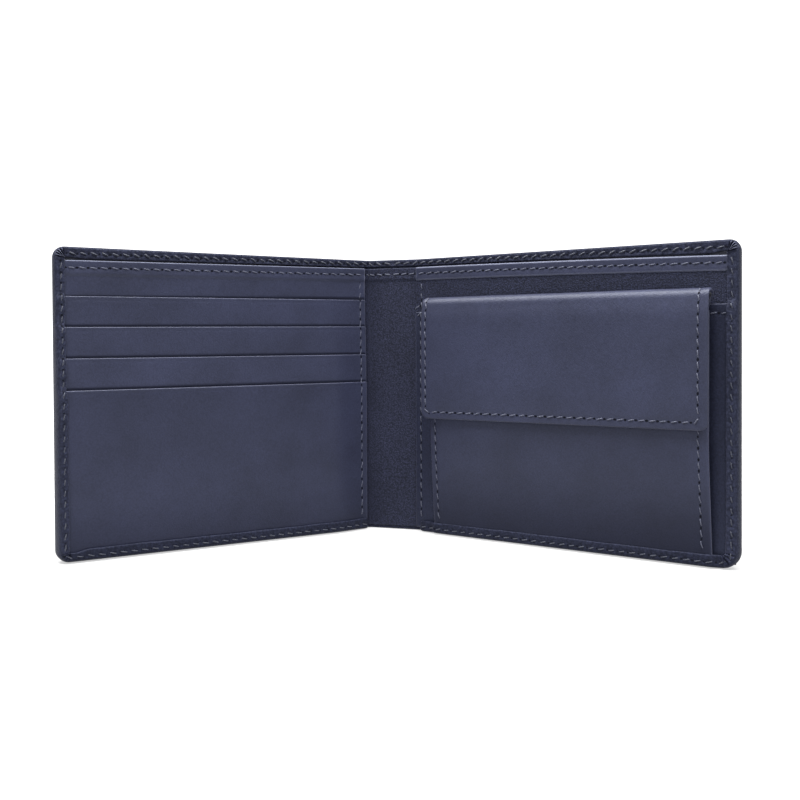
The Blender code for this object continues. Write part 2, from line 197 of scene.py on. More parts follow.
# Two bodies that a piece lies between, and where the change from one to the other starts and ends
FOLD_BENDS = {half: (BODY[half], "spine", half.point(5.0, 1.0, 0), half.point(-4.0, 1.0, 0)) for half in BODY}
SPINE_SIDE = ("right_half", "spine", RIGHT.point(6.0, 1.0, 0), RIGHT.point(-3.0, 1.0, 0))
POUCH_LEAN = ("right_half", "pouch_front_wall", RIGHT.point(50, 6, 2.0), RIGHT.point(50, 6, 13.0))
FLAP_SWING = ("right_half", "flap", RIGHT.point(50, FLAP_BACK + 1.4, AXIS_Z),
              RIGHT.point(50, FLAP_FRONT - 1.7, AXIS_Z))


# ---- small maths ----

def smooth(value, low, high):
    """0 below low, 1 above high, easing in between."""
    t = np.clip((np.asarray(value, float) - low) / (high - low), 0, 1)
    return t * t * (3 - 2 * t)


def between(value, low, full, fall, high):
    """1 from full to fall, easing to 0 at low and high."""
    return smooth(value, low, full) * (1 - smooth(value, fall, high))


def squeeze(x, low, high, reach=5.0):
    """0 at a panel's sewn sides, 1 in the open between them."""
    return between(x, low, low + reach, high - reach, high)


def mixed(first, second, share):
    """First at 0 and second at 1."""
    return first * (1 - share) + second * share


def wobble(x, z, seed, size):
    """Gentle unevenness between about -1 and 1 that repeats nowhere near; size is its wavelength."""
    k = TURN / size
    a = np.sin(k * (x * 0.83 + z * 0.41) + seed * 1.7)
    b = np.sin(k * (x * -0.37 + z * 1.13) * 0.71 + seed * 3.1)
    c = np.sin(k * (x * 1.31 - z * 0.67) * 1.37 + seed * 5.3)
    return (a + b + 0.6 * c) / 2.6


def groove(distance, along, depth=GROOVE_DEPTH):
    """How far a row of stitches pulls the leather in, deepest at the needle holes."""
    pull = 0.75 + 0.25 * np.cos(TURN * along / STITCH_PITCH)
    return -depth * pull * np.exp(-(distance / GROOVE_WIDTH) ** 2)


def lines(start, end, step, fine=()):
    """Grid lines from start to end about step apart, closer beside each fine line and at both ends."""
    count = max(2, int(ceil((end - start) / step)) + 1)
    values = list(np.linspace(start, end, count))
    near = [line + offset for line in fine for offset in (-1.3, -0.75, -0.38, 0, 0.38, 0.75, 1.3)]
    near += [start + 0.45, end - 0.45]
    near = [value for value in near if start + 0.15 < value < end - 0.15]
    values = [v for v in values if v in (start, end) or all(abs(v - n) > 0.3 for n in near)] + near
    kept = [start]
    for value in sorted(values)[1:]:
        if value - kept[-1] > 0.12:
            kept.append(value)
    kept[-1] = end
    return np.array(kept)


# ---- materials ----

class Look:
    """Material for one of the record's finishes, built on the sheet coordinates of its pieces."""

    def __init__(self, name, slot=None):
        self.slot = slot
        self.material = bpy.data.materials.new(name)
        self.material.use_nodes = True
        self.tree = self.material.node_tree
        if slot:
            self.at = self.node("Attribute", attribute_name="sheet").outputs["Vector"]
        else:
            self.at = self.node("TexCoord").outputs["Object"]

    def put(self, socket, value):
        """Feeds an input from another node, or sets it to a number or a colour."""
        if isinstance(value, bpy.types.NodeSocket):
            self.tree.links.new(value, socket)
        else:
            socket.default_value = (*value, 1.0) if isinstance(value, tuple) else value

    def node(self, kind, **settings):
        """New node; a setting that names an input, with _ for a space, goes to that input."""
        node = self.tree.nodes.new("ShaderNode" + kind)
        for key, value in settings.items():
            name = key.replace("_", " ")
            if name in node.inputs.keys():
                self.put(node.inputs[name], value)
            else:
                setattr(node, key, value)
        return node

    def texture(self, kind, output="Fac", **settings):
        """Output of a texture laid over the sheet, whose coordinates are in millimetres."""
        return self.node("Tex" + kind, Vector=self.at, **settings).outputs[output]

    def ramp(self, source, low, high, low_at=0.0, high_at=1.0):
        """Maps a value to a range of numbers."""
        return self.node("MapRange", clamp=True, Value=source, From_Min=low_at, From_Max=high_at, To_Min=low,
                         To_Max=high).outputs["Result"]

    def mix(self, factor, first, second):
        """Mixes two colours."""
        node = self.node("Mix", data_type="RGBA")
        for index, value in ((0, factor), (6, first), (7, second)):
            self.put(node.inputs[index], value)
        return node.outputs[2]

    def bump(self, height, relief, strength, **under):
        """Bump of a height map, relief millimetres high, on top of the normal in under."""
        return self.node("Bump", Strength=strength, Distance=relief * MM, Height=height,
                         **under).outputs["Normal"]

    def surface(self, base, roughness, **more):
        """Feeds the shader's inputs, with _ for a space in their names."""
        shader = self.tree.nodes["Principled BSDF"]
        for key, value in {"Base_Color": base, "Roughness": roughness, **more}.items():
            self.put(shader.inputs[key.replace("_", " ")], value)
        return self


def tinted(color, share):
    """A colour made darker or lighter."""
    return tuple(channel * share for channel in color)


def leather(name, slot, color, pale, grain_size, grain_depth, roughness, cavity=0.3, mottle=0.06,
            specular=0.18, sheen=0.03):
    """Dyed leather: pebbled grain with darker valleys, fine pores, uneven dye, paler edges from rubbing with
    painted highlight, and painted shade that darkens it and dims its sheen.
    """
    look = Look(name, slot)
    wear_and_painted_light = look.node("Attribute", attribute_name="wear_and_painted_light").outputs["Fac"]
    clouds = look.texture("Noise", Scale=0.045, Detail=5.0, Roughness=0.6)
    streaks = look.texture("Noise", Scale=0.7, Detail=5.0, Roughness=0.7)
    pebbles = look.texture("Voronoi", "Distance", Scale=1.0 / grain_size, feature="SMOOTH_F1",
                           Smoothness=0.35, Randomness=0.95)
    wrinkles = look.texture("Noise", Scale=0.9 / grain_size, Detail=6.0, Roughness=0.7, Distortion=0.6)
    pores = look.texture("Voronoi", "Distance", Scale=4.5, feature="F1")
    valley_and_shade = tinted(color, 0.25)
    base = tinted(color, 1 - mottle)
    # the last two mixes: paler edges from rubbing with painted highlight, and painted shade
    for factor, towards in ((look.ramp(clouds, 0, 1, 0.32, 0.68), tinted(color, 1 + mottle)),
                            (look.ramp(streaks, 0.0, 0.2, 0.35, 0.75), tinted(color, 1.5)),
                            (look.ramp(pebbles, 0.0, cavity, 0.30, 0.75), valley_and_shade),
                            (look.ramp(wrinkles, cavity * 0.9, 0.0, 0.36, 0.60), valley_and_shade),
                            (look.ramp(wear_and_painted_light, 0.0, 0.75, 0.2, 1.0), pale),
                            (look.ramp(wear_and_painted_light, 0.9, 0.0, -1.0, -0.05), valley_and_shade)):
        base = look.mix(factor, base, towards)
    normal = look.bump(wrinkles, grain_depth, 0.9)
    normal = look.bump(pebbles, -grain_depth, 0.9, Normal=normal)
    normal = look.bump(pores, 0.012, 0.5, Normal=normal)
    return look.surface(base, look.ramp(streaks, roughness - 0.05, roughness + 0.07, 0.3, 0.7),
                        Specular_IOR_Level=look.ramp(wear_and_painted_light, 0.3 * specular, specular, -0.8, -0.1),
                        Specular_Tint=(0.86, 0.90, 1.0), Sheen_Weight=sheen, Sheen_Roughness=0.5,
                        Normal=normal)


def fabric(name, color, thread_size):
    """Plain-weave lining: over-and-under threads in relief, with uneven colour."""
    look = Look(name, "lining_fabric")
    warp, weft = (look.texture("Wave", Scale=0.5 / thread_size, bands_direction=way, Distortion=0.6,
                               Detail=1.0) for way in "XY")
    weave_node = look.node("Math", operation="MULTIPLY")
    look.put(weave_node.inputs[0], warp)
    look.put(weave_node.inputs[1], weft)
    weave = weave_node.outputs[0]
    slubs = look.texture("Noise", Scale=0.35, Detail=4.0)
    base = look.mix(weave, tinted(color, 0.6), tinted(color, 1.3))
    base = look.mix(look.ramp(slubs, 0.0, 0.5, 0.4, 0.7), base, color)
    return look.surface(base, look.ramp(slubs, 0.78, 0.92), Specular_IOR_Level=0.2, Sheen_Weight=0.2,
                        Normal=look.bump(weave, 0.05, 0.8))


def thread(name, color):
    """Waxed thread: a twist along it and a soft shine."""
    look = Look(name, "thread")
    twist = look.texture("Wave", Scale=0.9, bands_direction="DIAGONAL", Distortion=0.4)
    fuzz = look.texture("Noise", Scale=3.0, Detail=3.0)
    return look.surface(look.mix(twist, tinted(color, 0.7), color), look.ramp(fuzz, 0.48, 0.66),
                        Sheen_Weight=0.15, Normal=look.bump(twist, 0.05, 0.7))


def needle_hole_shade(name):
    """Painted shade: the dark inside of a needle hole, on a disc laid over the leather."""
    look = Look(name, "thread")
    fibre = look.texture("Noise", Scale=5.0, Detail=2.0)
    return look.surface(look.mix(fibre, (0.004, 0.0045, 0.007), (0.010, 0.011, 0.017)), 0.95,
                        Specular_IOR_Level=0.05)


def nickel(name):
    """Satin nickel plate with fine turning marks and slight tarnish."""
    look = Look(name, "snap_nickel")
    marks = look.texture("Noise", Scale=6.0, Detail=3.0)
    tarnish = look.ramp(look.texture("Noise", Scale=0.6, Detail=4.0), 0.0, 1.0, 0.4, 0.75)
    return look.surface(look.mix(tarnish, (0.62, 0.61, 0.59), (0.44, 0.43, 0.42)),
                        look.ramp(marks, 0.22, 0.38), Metallic=1.0, Normal=look.bump(marks, 0.01, 0.5))


def glowing_cove_white(name):
    """Matte white studio sweep that glows, painted light strongest under and behind the wallet and dim in
    front.
    """
    look = Look(name)
    clouds = look.texture("Noise", Scale=3.0, Detail=3.0)
    far = look.node("SeparateXYZ", Vector=look.at).outputs["Y"]
    return look.surface(look.mix(clouds, (0.27, 0.27, 0.27), (0.30, 0.30, 0.30)), 0.9,
                        Emission_Color=(1.0, 1.0, 1.0),
                        Emission_Strength=look.ramp(far, 0.15, 1.1, -0.28, 0.35), Specular_IOR_Level=0.1)


NAVY = (0.0225, 0.0255, 0.0525)
SLATE_NAVY = (0.0160, 0.0186, 0.0390)
DEEP_NAVY = (0.0255, 0.0288, 0.0540)
NIGHT_NAVY = (0.0255, 0.0288, 0.0590)
# pale edge colour: rubbing, and painted highlight along the edges
PALE_EDGE_AND_HIGHLIGHT = (0.150, 0.160, 0.225)
SMOOTH = leather("smooth_leather_look", "smooth_leather", NAVY, PALE_EDGE_AND_HIGHLIGHT, 0.50, 0.026, 0.44, cavity=0.22,
                 mottle=0.22, specular=0.34)
POCKET = leather("pocket_leather_look", "smooth_leather", SLATE_NAVY, PALE_EDGE_AND_HIGHLIGHT, 0.55, 0.035, 0.55,
                 cavity=0.35, mottle=0.1)
COVER_LOOK = leather("cover_leather_look", "smooth_leather", DEEP_NAVY, PALE_EDGE_AND_HIGHLIGHT, 0.80, 0.110, 0.54,
                     cavity=0.60, mottle=0.1, specular=0.12, sheen=0.0)
GRAINED = leather("grained_leather_look", "grained_leather", NIGHT_NAVY, (0.050, 0.058, 0.095), 0.46, 0.085,
                  0.60, cavity=0.95, mottle=0.15)
LINING = fabric("lining_look", (0.014, 0.016, 0.027), 0.28)
HOLE_SHADE = needle_hole_shade("needle_hole_shade_look")
SEWING = (thread("thread_look", (0.060, 0.067, 0.108)), HOLE_SHADE)
EDGE_SEWING = (thread("edge_thread_look", (0.030, 0.035, 0.058)), HOLE_SHADE)
NICKEL = nickel("nickel_look")


# ---- meshes ----

SHARP_ANGLE = radians(72)
METAL_SHARP_ANGLE = radians(40)


def add_object(name, data):
    """New object in the scene."""
    made = bpy.data.objects.new(name, data)
    bpy.context.scene.collection.objects.link(made)
    return made


def make_mesh(name, nodes, moves, points, faces, sheet, wear_and_painted_light, looks, slots=None):
    """Smooth-shaded piece that stands for some nodes, with what its materials read at each vertex.

    It rides on a body, or stays where it is built when moves is a bend.
    """
    mesh = bpy.data.meshes.new(name)
    mesh.from_pydata(np.asarray(points).tolist(), [], faces)
    flat = mesh.attributes.new("sheet", "FLOAT_VECTOR", "POINT")
    flat.data.foreach_set("vector", np.asarray(sheet, np.float32).ravel())
    # per vertex: above 0 paler edges from rubbing with painted highlight, below 0 painted shade
    wear_and_painted_light_layer = mesh.attributes.new("wear_and_painted_light", "FLOAT", "POINT")
    wear_and_painted_light_layer.data.foreach_set("value", np.asarray(wear_and_painted_light, np.float32).ravel())
    for look in looks:
        mesh.materials.append(look.material)
    if slots is not None:
        mesh.polygons.foreach_set("material_index", slots)
    bm = bmesh.new()
    bm.from_mesh(mesh)
    bmesh.ops.recalc_face_normals(bm, faces=bm.faces)
    bm.to_mesh(mesh)
    bm.free()
    mesh.shade_smooth()
    mesh.set_sharp_from_angle(angle=SHARP_ANGLE)
    piece = add_object(name, mesh)
    if nodes:
        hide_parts(*nodes)
    if isinstance(moves, tuple):
        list(moves)
        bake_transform(piece)
    else:
        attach(piece, moves)
    return piece


def corner_limits(rows, span, height, radii):
    """Where each row of a rounded rectangle starts and ends, and its outward directions there."""
    (x0, x1), (z0, z1) = span, height
    starts, ends = np.full(len(rows), x0, float), np.full(len(rows), x1, float)
    out_start = np.tile([-1.0, 0.0], (len(rows), 1))
    out_end = np.tile([1.0, 0.0], (len(rows), 1))
    for corner, radius in enumerate(radii):
        low, far = corner in (0, 1), corner in (1, 2)
        rise = rows - (z0 + radius if low else z1 - radius)
        inside = rise < 0 if low else rise > 0
        run = np.sqrt(np.maximum(radius ** 2 - rise ** 2, 0))
        if far:
            ends[inside] = (x1 - radius + run)[inside]
            out_end[inside] = np.stack([run, rise], -1)[inside] / radius
        else:
            starts[inside] = (x0 + radius - run)[inside]
            out_start[inside] = np.stack([-run, rise], -1)[inside] / radius
    return starts, ends, out_start, out_end


def arc_rows(rows, height, radii, steps):
    """Rows with extra ones round the corners, so that their arcs are even."""
    z0, z1 = height
    turns = 1 - np.cos(np.linspace(0, pi / 2, steps + 1))
    bottom, top = max(radii[0], radii[1]), max(radii[2], radii[3])
    middle = [z for z in rows if z0 + bottom + 0.2 < z < z1 - top - 0.2]
    return np.array(sorted({*(z0 + bottom * turns), *middle, *(z1 - top * turns)}))


def face_grid(span, height, radii, step, fine_x, fine_z, corner_steps=6):
    """Points of a rounded rectangle as a grid, with the outward direction all round its border."""
    rows = arc_rows(lines(*height, step, fine_z), height, radii, corner_steps)
    columns = lines(*span, step, fine_x)
    share = (columns - span[0]) / (span[1] - span[0])
    starts, ends, out_start, out_end = corner_limits(rows, span, height, radii)
    x = starts[:, None] + (ends - starts)[:, None] * share[None, :]
    z = np.repeat(rows[:, None], len(share), 1)
    return x, z, out_start, out_end


def border(rows, columns):
    """Indices of a grid's border, once round: along the bottom, up the far side, back and down."""
    index = np.arange(rows * columns).reshape(rows, columns)
    return np.concatenate([index[0, :], index[1:, -1], index[-1, -2::-1], index[-2:0:-1, 0]])


def border_out(columns, out_start, out_end):
    """Outward direction at each border index, in the same order."""
    bottom = np.tile([0.0, -1.0], (columns, 1))
    top = np.tile([0.0, 1.0], (columns - 1, 1))
    return np.concatenate([bottom, out_end[1:], top, out_start[-2:0:-1]])


def grid_faces(rows, columns, base, flip):
    """Quads of a grid whose first vertex has index base."""
    index = base + np.arange(rows * columns).reshape(rows, columns)
    quads = np.stack([index[:-1, :-1], index[:-1, 1:], index[1:, 1:], index[1:, :-1]], -1).reshape(-1, 4)
    return (quads[:, ::-1] if flip else quads).tolist()


def ring_faces(first, second, closed=True):
    """Quads between two rings of indices, or between two open rows."""
    quads = np.stack([first, np.roll(first, -1), np.roll(second, -1), second], -1)
    return (quads if closed else quads[:-1]).tolist()


def shell_faces(rows, columns, loop, strips, closed=True, flip=False):
    """Faces of two grids joined round a loop by strips of vertices, and the rings across those strips."""
    count = rows * columns
    far = count + strips * len(loop)
    rings = [loop, *(count + k * len(loop) + np.arange(len(loop)) for k in range(strips)), loop + far]
    faces = grid_faces(rows, columns, 0, flip)
    for first, second in zip(rings, rings[1:]):
        faces += ring_faces(first, second, closed)
    return faces + grid_faces(rows, columns, far, not flip), rings


def joined_rows(parts):
    """Parts of (x, depth, z, wear) as four whole columns."""
    return (np.concatenate(column) for column in zip(*parts))


def sheet(name, nodes, moves, place, span, height, front, look, thickness=0.5, radii=(0, 0, 0, 0), step=1.5,
          fine_x=(), fine_z=(), rim_steps=4, edge_drop=0.0, seed=0.0, joined=False, mirror=False,
          rubbed_and_painted_light=0.45, shade=None, bulk=None):
    """Leather or fabric sheet with rounded edges; front(x, z) is the depth of its front face.

    A joined sheet goes on in another one at its start, so it is cut square there, and mirror makes its grain
    run on from the other. shade(x, z) paints shade on it, darkening it from 0 to 1, and bulk(x, z) is a share
    of its thickness.
    Its front edges and the front half of its rim are made paler, for rubbing with painted highlight on them.
    """
    rim = thickness / 2
    inset_span = (span[0] + (0 if joined else rim), span[1] - rim)
    inset_height = (height[0] + rim, height[1] - rim)
    inset_radii = [max(radius, rim + 0.2) - rim for radius in radii]
    x, z, out_start, out_end = face_grid(inset_span, inset_height, inset_radii, step, fine_x, fine_z)
    if joined:
        out_start[:] = 0
    start_gap = x - inset_span[0] + (height[1] if joined else 0)
    gap = np.minimum.reduce([start_gap, inset_span[1] - x, z - inset_height[0], inset_height[1] - z])
    depth = (front(x, z) - edge_drop * np.exp(-(gap / 0.8) ** 2)).ravel()
    thick = thickness * (bulk(x, z) if bulk else np.ones_like(x)).ravel()
    # paler towards the edges for rubbing with painted highlight, darker where shade is painted
    face_wear_and_shade = rubbed_and_painted_light * 0.6 * np.exp(-gap / 0.2)
    if shade:
        face_wear_and_shade = face_wear_and_shade - shade(x, z)
    loop = border(*x.shape)
    out = border_out(x.shape[1], out_start, out_end)
    flat_x, flat_z = x.ravel(), z.ravel()
    parts = [(flat_x, depth, flat_z, face_wear_and_shade.ravel())]
    for k in range(1, rim_steps + 1):
        angle = pi * k / (rim_steps + 1)
        reach = rim * sin(angle)
        fall = thick[loop] / 2 * (1 - cos(angle))
        # only the front half of the rim is made paler: rubbing with painted highlight
        parts.append((flat_x[loop] + out[:, 0] * reach, depth[loop] - fall, flat_z[loop] + out[:, 1] * reach,
                      np.full(len(loop), rubbed_and_painted_light * (angle < 1.8))))
    parts.append((flat_x, depth - thick, flat_z, np.zeros(x.size)))
    xs, depths, zs, wear_and_painted_light = joined_rows(parts)
    faces, _ = shell_faces(*x.shape, loop, rim_steps)
    flat = np.stack([-xs - SPINE_WIDTH if mirror else xs, zs, depths * 3 + seed * 37.0], -1)
    return make_mesh(name, nodes, moves, place(xs, depths, zs), faces, flat, wear_and_painted_light, [look])


def spine_node(kind, half):
    """The spine's node of a kind, which the left half's piece stands for too."""
    return [f"{kind}_spine"] * (half is LEFT)


# ---- stitching ----

def resample(route, pitch):
    """Even places along a route, with the direction there and the distance between them."""
    route = np.asarray(route, float)
    steps = np.diff(route, axis=0)
    lengths = np.hypot(steps[:, 0], steps[:, 1])
    travelled = np.concatenate([[0], np.cumsum(lengths)])
    count = max(1, int(round(travelled[-1] / pitch)))
    at = (np.arange(count) + 0.5) * travelled[-1] / count
    x = np.interp(at, travelled, route[:, 0])
    z = np.interp(at, travelled, route[:, 1])
    which = np.clip(np.searchsorted(travelled, at) - 1, 0, len(lengths) - 1)
    return x, z, steps[which] / lengths[which][:, None], travelled[-1] / count


def stitch_row(name, nodes, moves, place, route, surface, looks=SEWING, side=1, radius=STITCH_RADIUS,
               slanted=STITCH_SLANT, seed=0):
    """Row of separate stitches, with dark discs of painted shade for their needle holes; side is -1 on a face
    seen from behind.
    """
    rng = np.random.default_rng(1000 + seed)
    xs, zs, directions, pitch = resample(route, STITCH_PITCH)
    along = np.linspace(-1, 1, 9)
    ring = np.linspace(0, TURN, STITCH_SIDES, endpoint=False)
    rings = [i * STITCH_SIDES + np.arange(STITCH_SIDES) for i in range(len(along))]
    tube = [quad for first, second in zip(rings, rings[1:]) for quad in ring_faces(first, second)]
    tube += [rings[0].tolist()[::-1], rings[-1].tolist()]
    hole = [[0, 1 + j, 1 + (j + 1) % STITCH_SIDES] for j in range(STITCH_SIDES)]
    points, faces, slots = [], [], []

    def add(px, lift, pz, quads, slot):
        base = sum(len(part) for part in points)
        points.append(np.stack([px, surface(px, pz) + side * lift, pz], -1))
        faces.extend([base + i for i in quad] for quad in quads)
        slots.extend([slot] * len(quads))

    for x, z, (dx, dz) in zip(xs, zs, directions):
        slant = radians(slanted) * (1 + 0.35 * rng.uniform(-1, 1))
        c, s = cos(slant), sin(slant)
        ux, uz = dx * c - dz * s, dx * s + dz * c
        length = STITCH_LENGTH / 2 * (1 + 0.06 * rng.uniform(-1, 1))
        width = radius * (1 + 0.10 * rng.uniform(-1, 1))
        body = width * np.sqrt(np.maximum(1 - 0.72 * np.abs(along) ** 2.5, 0))
        height = 0.08 + width * 0.35 - (0.30 + width) * np.abs(along) ** 3.0 + 0.03 * rng.uniform(-1, 1)
        t = np.repeat(along * length, STITCH_SIDES)
        r = np.repeat(body, STITCH_SIDES)
        across = r * np.tile(np.cos(ring), len(along))
        lift = np.repeat(height, STITCH_SIDES) + r * np.tile(np.sin(ring), len(along))
        add(x + ux * t - uz * across, lift, z + uz * t + ux * across, tube, 0)
        # needle hole: a flat disc of painted shade just above the leather
        hx, hz = x + dx * pitch / 2, z + dz * pitch / 2
        size = NEEDLE_HOLE * (1 + 0.15 * rng.uniform(-1, 1))
        px = np.concatenate([[hx], hx + size * (dx * 1.25 * np.cos(ring) - dz * 0.85 * np.sin(ring))])
        pz = np.concatenate([[hz], hz + size * (dz * 1.25 * np.cos(ring) + dx * 0.85 * np.sin(ring))])
        add(px, 0.035, pz, hole, 1)
    flat = np.concatenate(points)
    return make_mesh(name, nodes, moves, place(*flat.T), faces, flat[:, [0, 2, 1]], np.zeros(len(flat)),
                     looks, slots)


# ---- outer leather ----

def share_of_half(x):
    """1 on a half, falling to 0 on the spine."""
    return smooth(x, 0.6, 3.4)


def top_line(half, x):
    """Height of the bill compartment's front edge, which sags towards the outer edge."""
    out = np.clip((x - MID_SPINE) / (RIGHT_WIDTH - MID_SPINE), 0, 1)
    return LEDGE_TOP - (1.35 * out if half is LEFT else 1.7 * out ** 1.6)


def pressed(x, depth):
    """Depth of a card layer, thinned down where all of them are sewn together beside the fold."""
    return DIVIDER_FACE + (depth - DIVIDER_FACE) * (0.30 + 0.70 * smooth(x, 2.5, 16.0))


def left_place(x, depth, z):
    """Places a card layer on the left half."""
    x, depth, z = arrays(x, depth, z)
    return LEFT.place(x, np.where(depth > DIVIDER_FACE, pressed(x, depth), depth), z)


@dataclass
class Cover:
    """Half of the outer leather: widths and depths of its turned edges all round."""

    half: Half
    width: float
    low_radius: float
    side_width: float
    steps: tuple  # heights at which layers end under the side edge
    bottom_depth: object
    flare: float
    seed: int

    def place(self, x, depth, z):
        """Places the leather; its outer edge flares a little towards the bottom."""
        x, depth, z = arrays(x, depth, z)
        out = self.flare * (1 - z / HEIGHT) * smooth(x, self.width - 8, self.width)
        return self.half.place(x + out, depth, z)

    def band(self, x):
        """Height of the band turned in along the top."""
        return HEIGHT - BAND_GAP - top_line(self.half, x)

    def turn(self, out):
        """Direction of the edge: -90 along the bottom, 0 up the side and 90 along the top."""
        return np.degrees(np.arctan2(out[:, 1], np.maximum(out[:, 0], 1e-6)))

    def front(self, x, z, out):
        """Depth of the turned edge's front face beside a border point."""
        up = self.turn(out)
        bottom = mixed(SPINE_EDGE_FRONT, self.bottom_depth(x), share_of_half(x))
        side = SIDE_FRONT + CARD_STEP * sum(1 - smooth(z, top - 0.6, top + 0.6) for top in self.steps)
        return mixed(mixed(bottom, side, smooth(up, -90, -20)), BAND_DEPTH, smooth(up, 5, 70))

    def reach(self, x, z, out):
        """Width of the turned edge there."""
        up = self.turn(out)
        near_corner = smooth(x, self.width - 9.0, self.width - 4.5)
        shrink = max(EDGE_HEIGHT + 0.35 - self.low_radius, 0)
        bottom = mixed(SPINE_EDGE_HEIGHT, EDGE_HEIGHT - shrink * near_corner, share_of_half(x))
        bottom = bottom + 0.10 * wobble(x, 0 * x, self.seed, 17)
        side = self.side_width + 0.12 * wobble(0 * z, z, self.seed + 2, 13)
        for pinch in self.steps:
            side = side - 0.45 * np.exp(-np.abs(z - pinch) / 1.1)
        band = self.band(x)
        top = band - np.maximum(band - 3.2, 0) * near_corner
        return mixed(mixed(bottom, side, smooth(up, -90, -10)), top, smooth(up, 10, 85))


def cover_profile(front, reach):
    """Section of a turned edge, from the back face round the edge to under its lip.

    Each point is (distance inward, depth, how pale or dark it is painted, whether stitches pull it): painted
    shade on the rounded edges, and at the lip paler leather from rubbing with painted light.
    """
    none = 0 * front
    thick = front - COVER_BACK
    back_round = np.minimum(BACK_ROUND, 0.28 * thick)
    front_round = np.minimum(0.62 * thick, 4.0)
    run = np.minimum(FRONT_ROUND, 0.35 + 0.2 * thick)
    points = [(BACK_ROUND + 0.9 + none, COVER_BACK + none, 0, False)]
    for angle in np.linspace(0, pi / 2, ROUND_STEPS):
        depth = COVER_BACK + back_round * (1 - cos(angle))
        points.append((BACK_ROUND * (1 - sin(angle)), depth, -0.25, False))
    for angle in np.linspace(0, pi / 2, ROUND_STEPS + 2)[1:]:
        depth = front - front_round * (1 - sin(angle))
        points.append((run * (1 - cos(angle)), depth, -0.3 * cos(angle), angle > 1.1))
    for share in (0.12, 0.24, 0.36, 0.48, 0.6, 0.73, 0.87, 1.0):
        points.append((run + (reach - LIP - run) * share, front, 0.2 * (share > 0.9), True))
    under = np.maximum(front - EDGE_SKIN, COVER_INSIDE + 0.03)
    return points + [(reach - 0.09, front - 0.08, 0.35, True),
                     (reach, front - 0.26, 0.2, True),
                     (reach - 0.06, front - 0.46, 0.2, True),
                     (reach - 0.4, under, 0, False),
                     (1.0 + none, under, 0, False),
                     (COVER_WALL + none, under * 0.5 + 0.25, 0, False),
                     (COVER_WALL + 0.05 + none, COVER_INSIDE + none, 0, False)]


def pleats(up):
    """Gathers in the leather round a top corner, about -1 to 1, and how strongly they show."""
    ridges = np.cos(np.radians(np.clip(up, 0, 90)) * 20)
    return np.sign(ridges) * np.abs(ridges) ** 0.6, between(up, 2, 14, 76, 89)


def low_pleats(up):
    """Softer gathers round a bottom corner."""
    return np.cos(np.radians(np.clip(-up, 0, 90)) * 16), between(up, -84, -72, -18, -6)


def edge_relief(cover, x, z, up, inward, along):
    """Relief of a turned edge: the pull of its seam, puckers between stitches and pleats."""
    row = mixed(EDGE_ROW, cover.band(x) * 0.55, smooth(up, 30, 80))
    seam = groove(inward - row, along, 0.22)
    puff = 0.10 * np.cos(TURN * along / STITCH_PITCH) * np.exp(-((inward - row) / 1.1) ** 2)
    (ridge, fan), (low_ridge, low_fan) = pleats(up), low_pleats(up)
    gathers = (0.70 * ridge * fan + 0.28 * low_ridge * low_fan) * smooth(inward, 0.15, 1.2)
    return seam - puff + gathers + 0.05 * wobble(x * 1.0, z * 1.0, cover.seed + 4, 7)


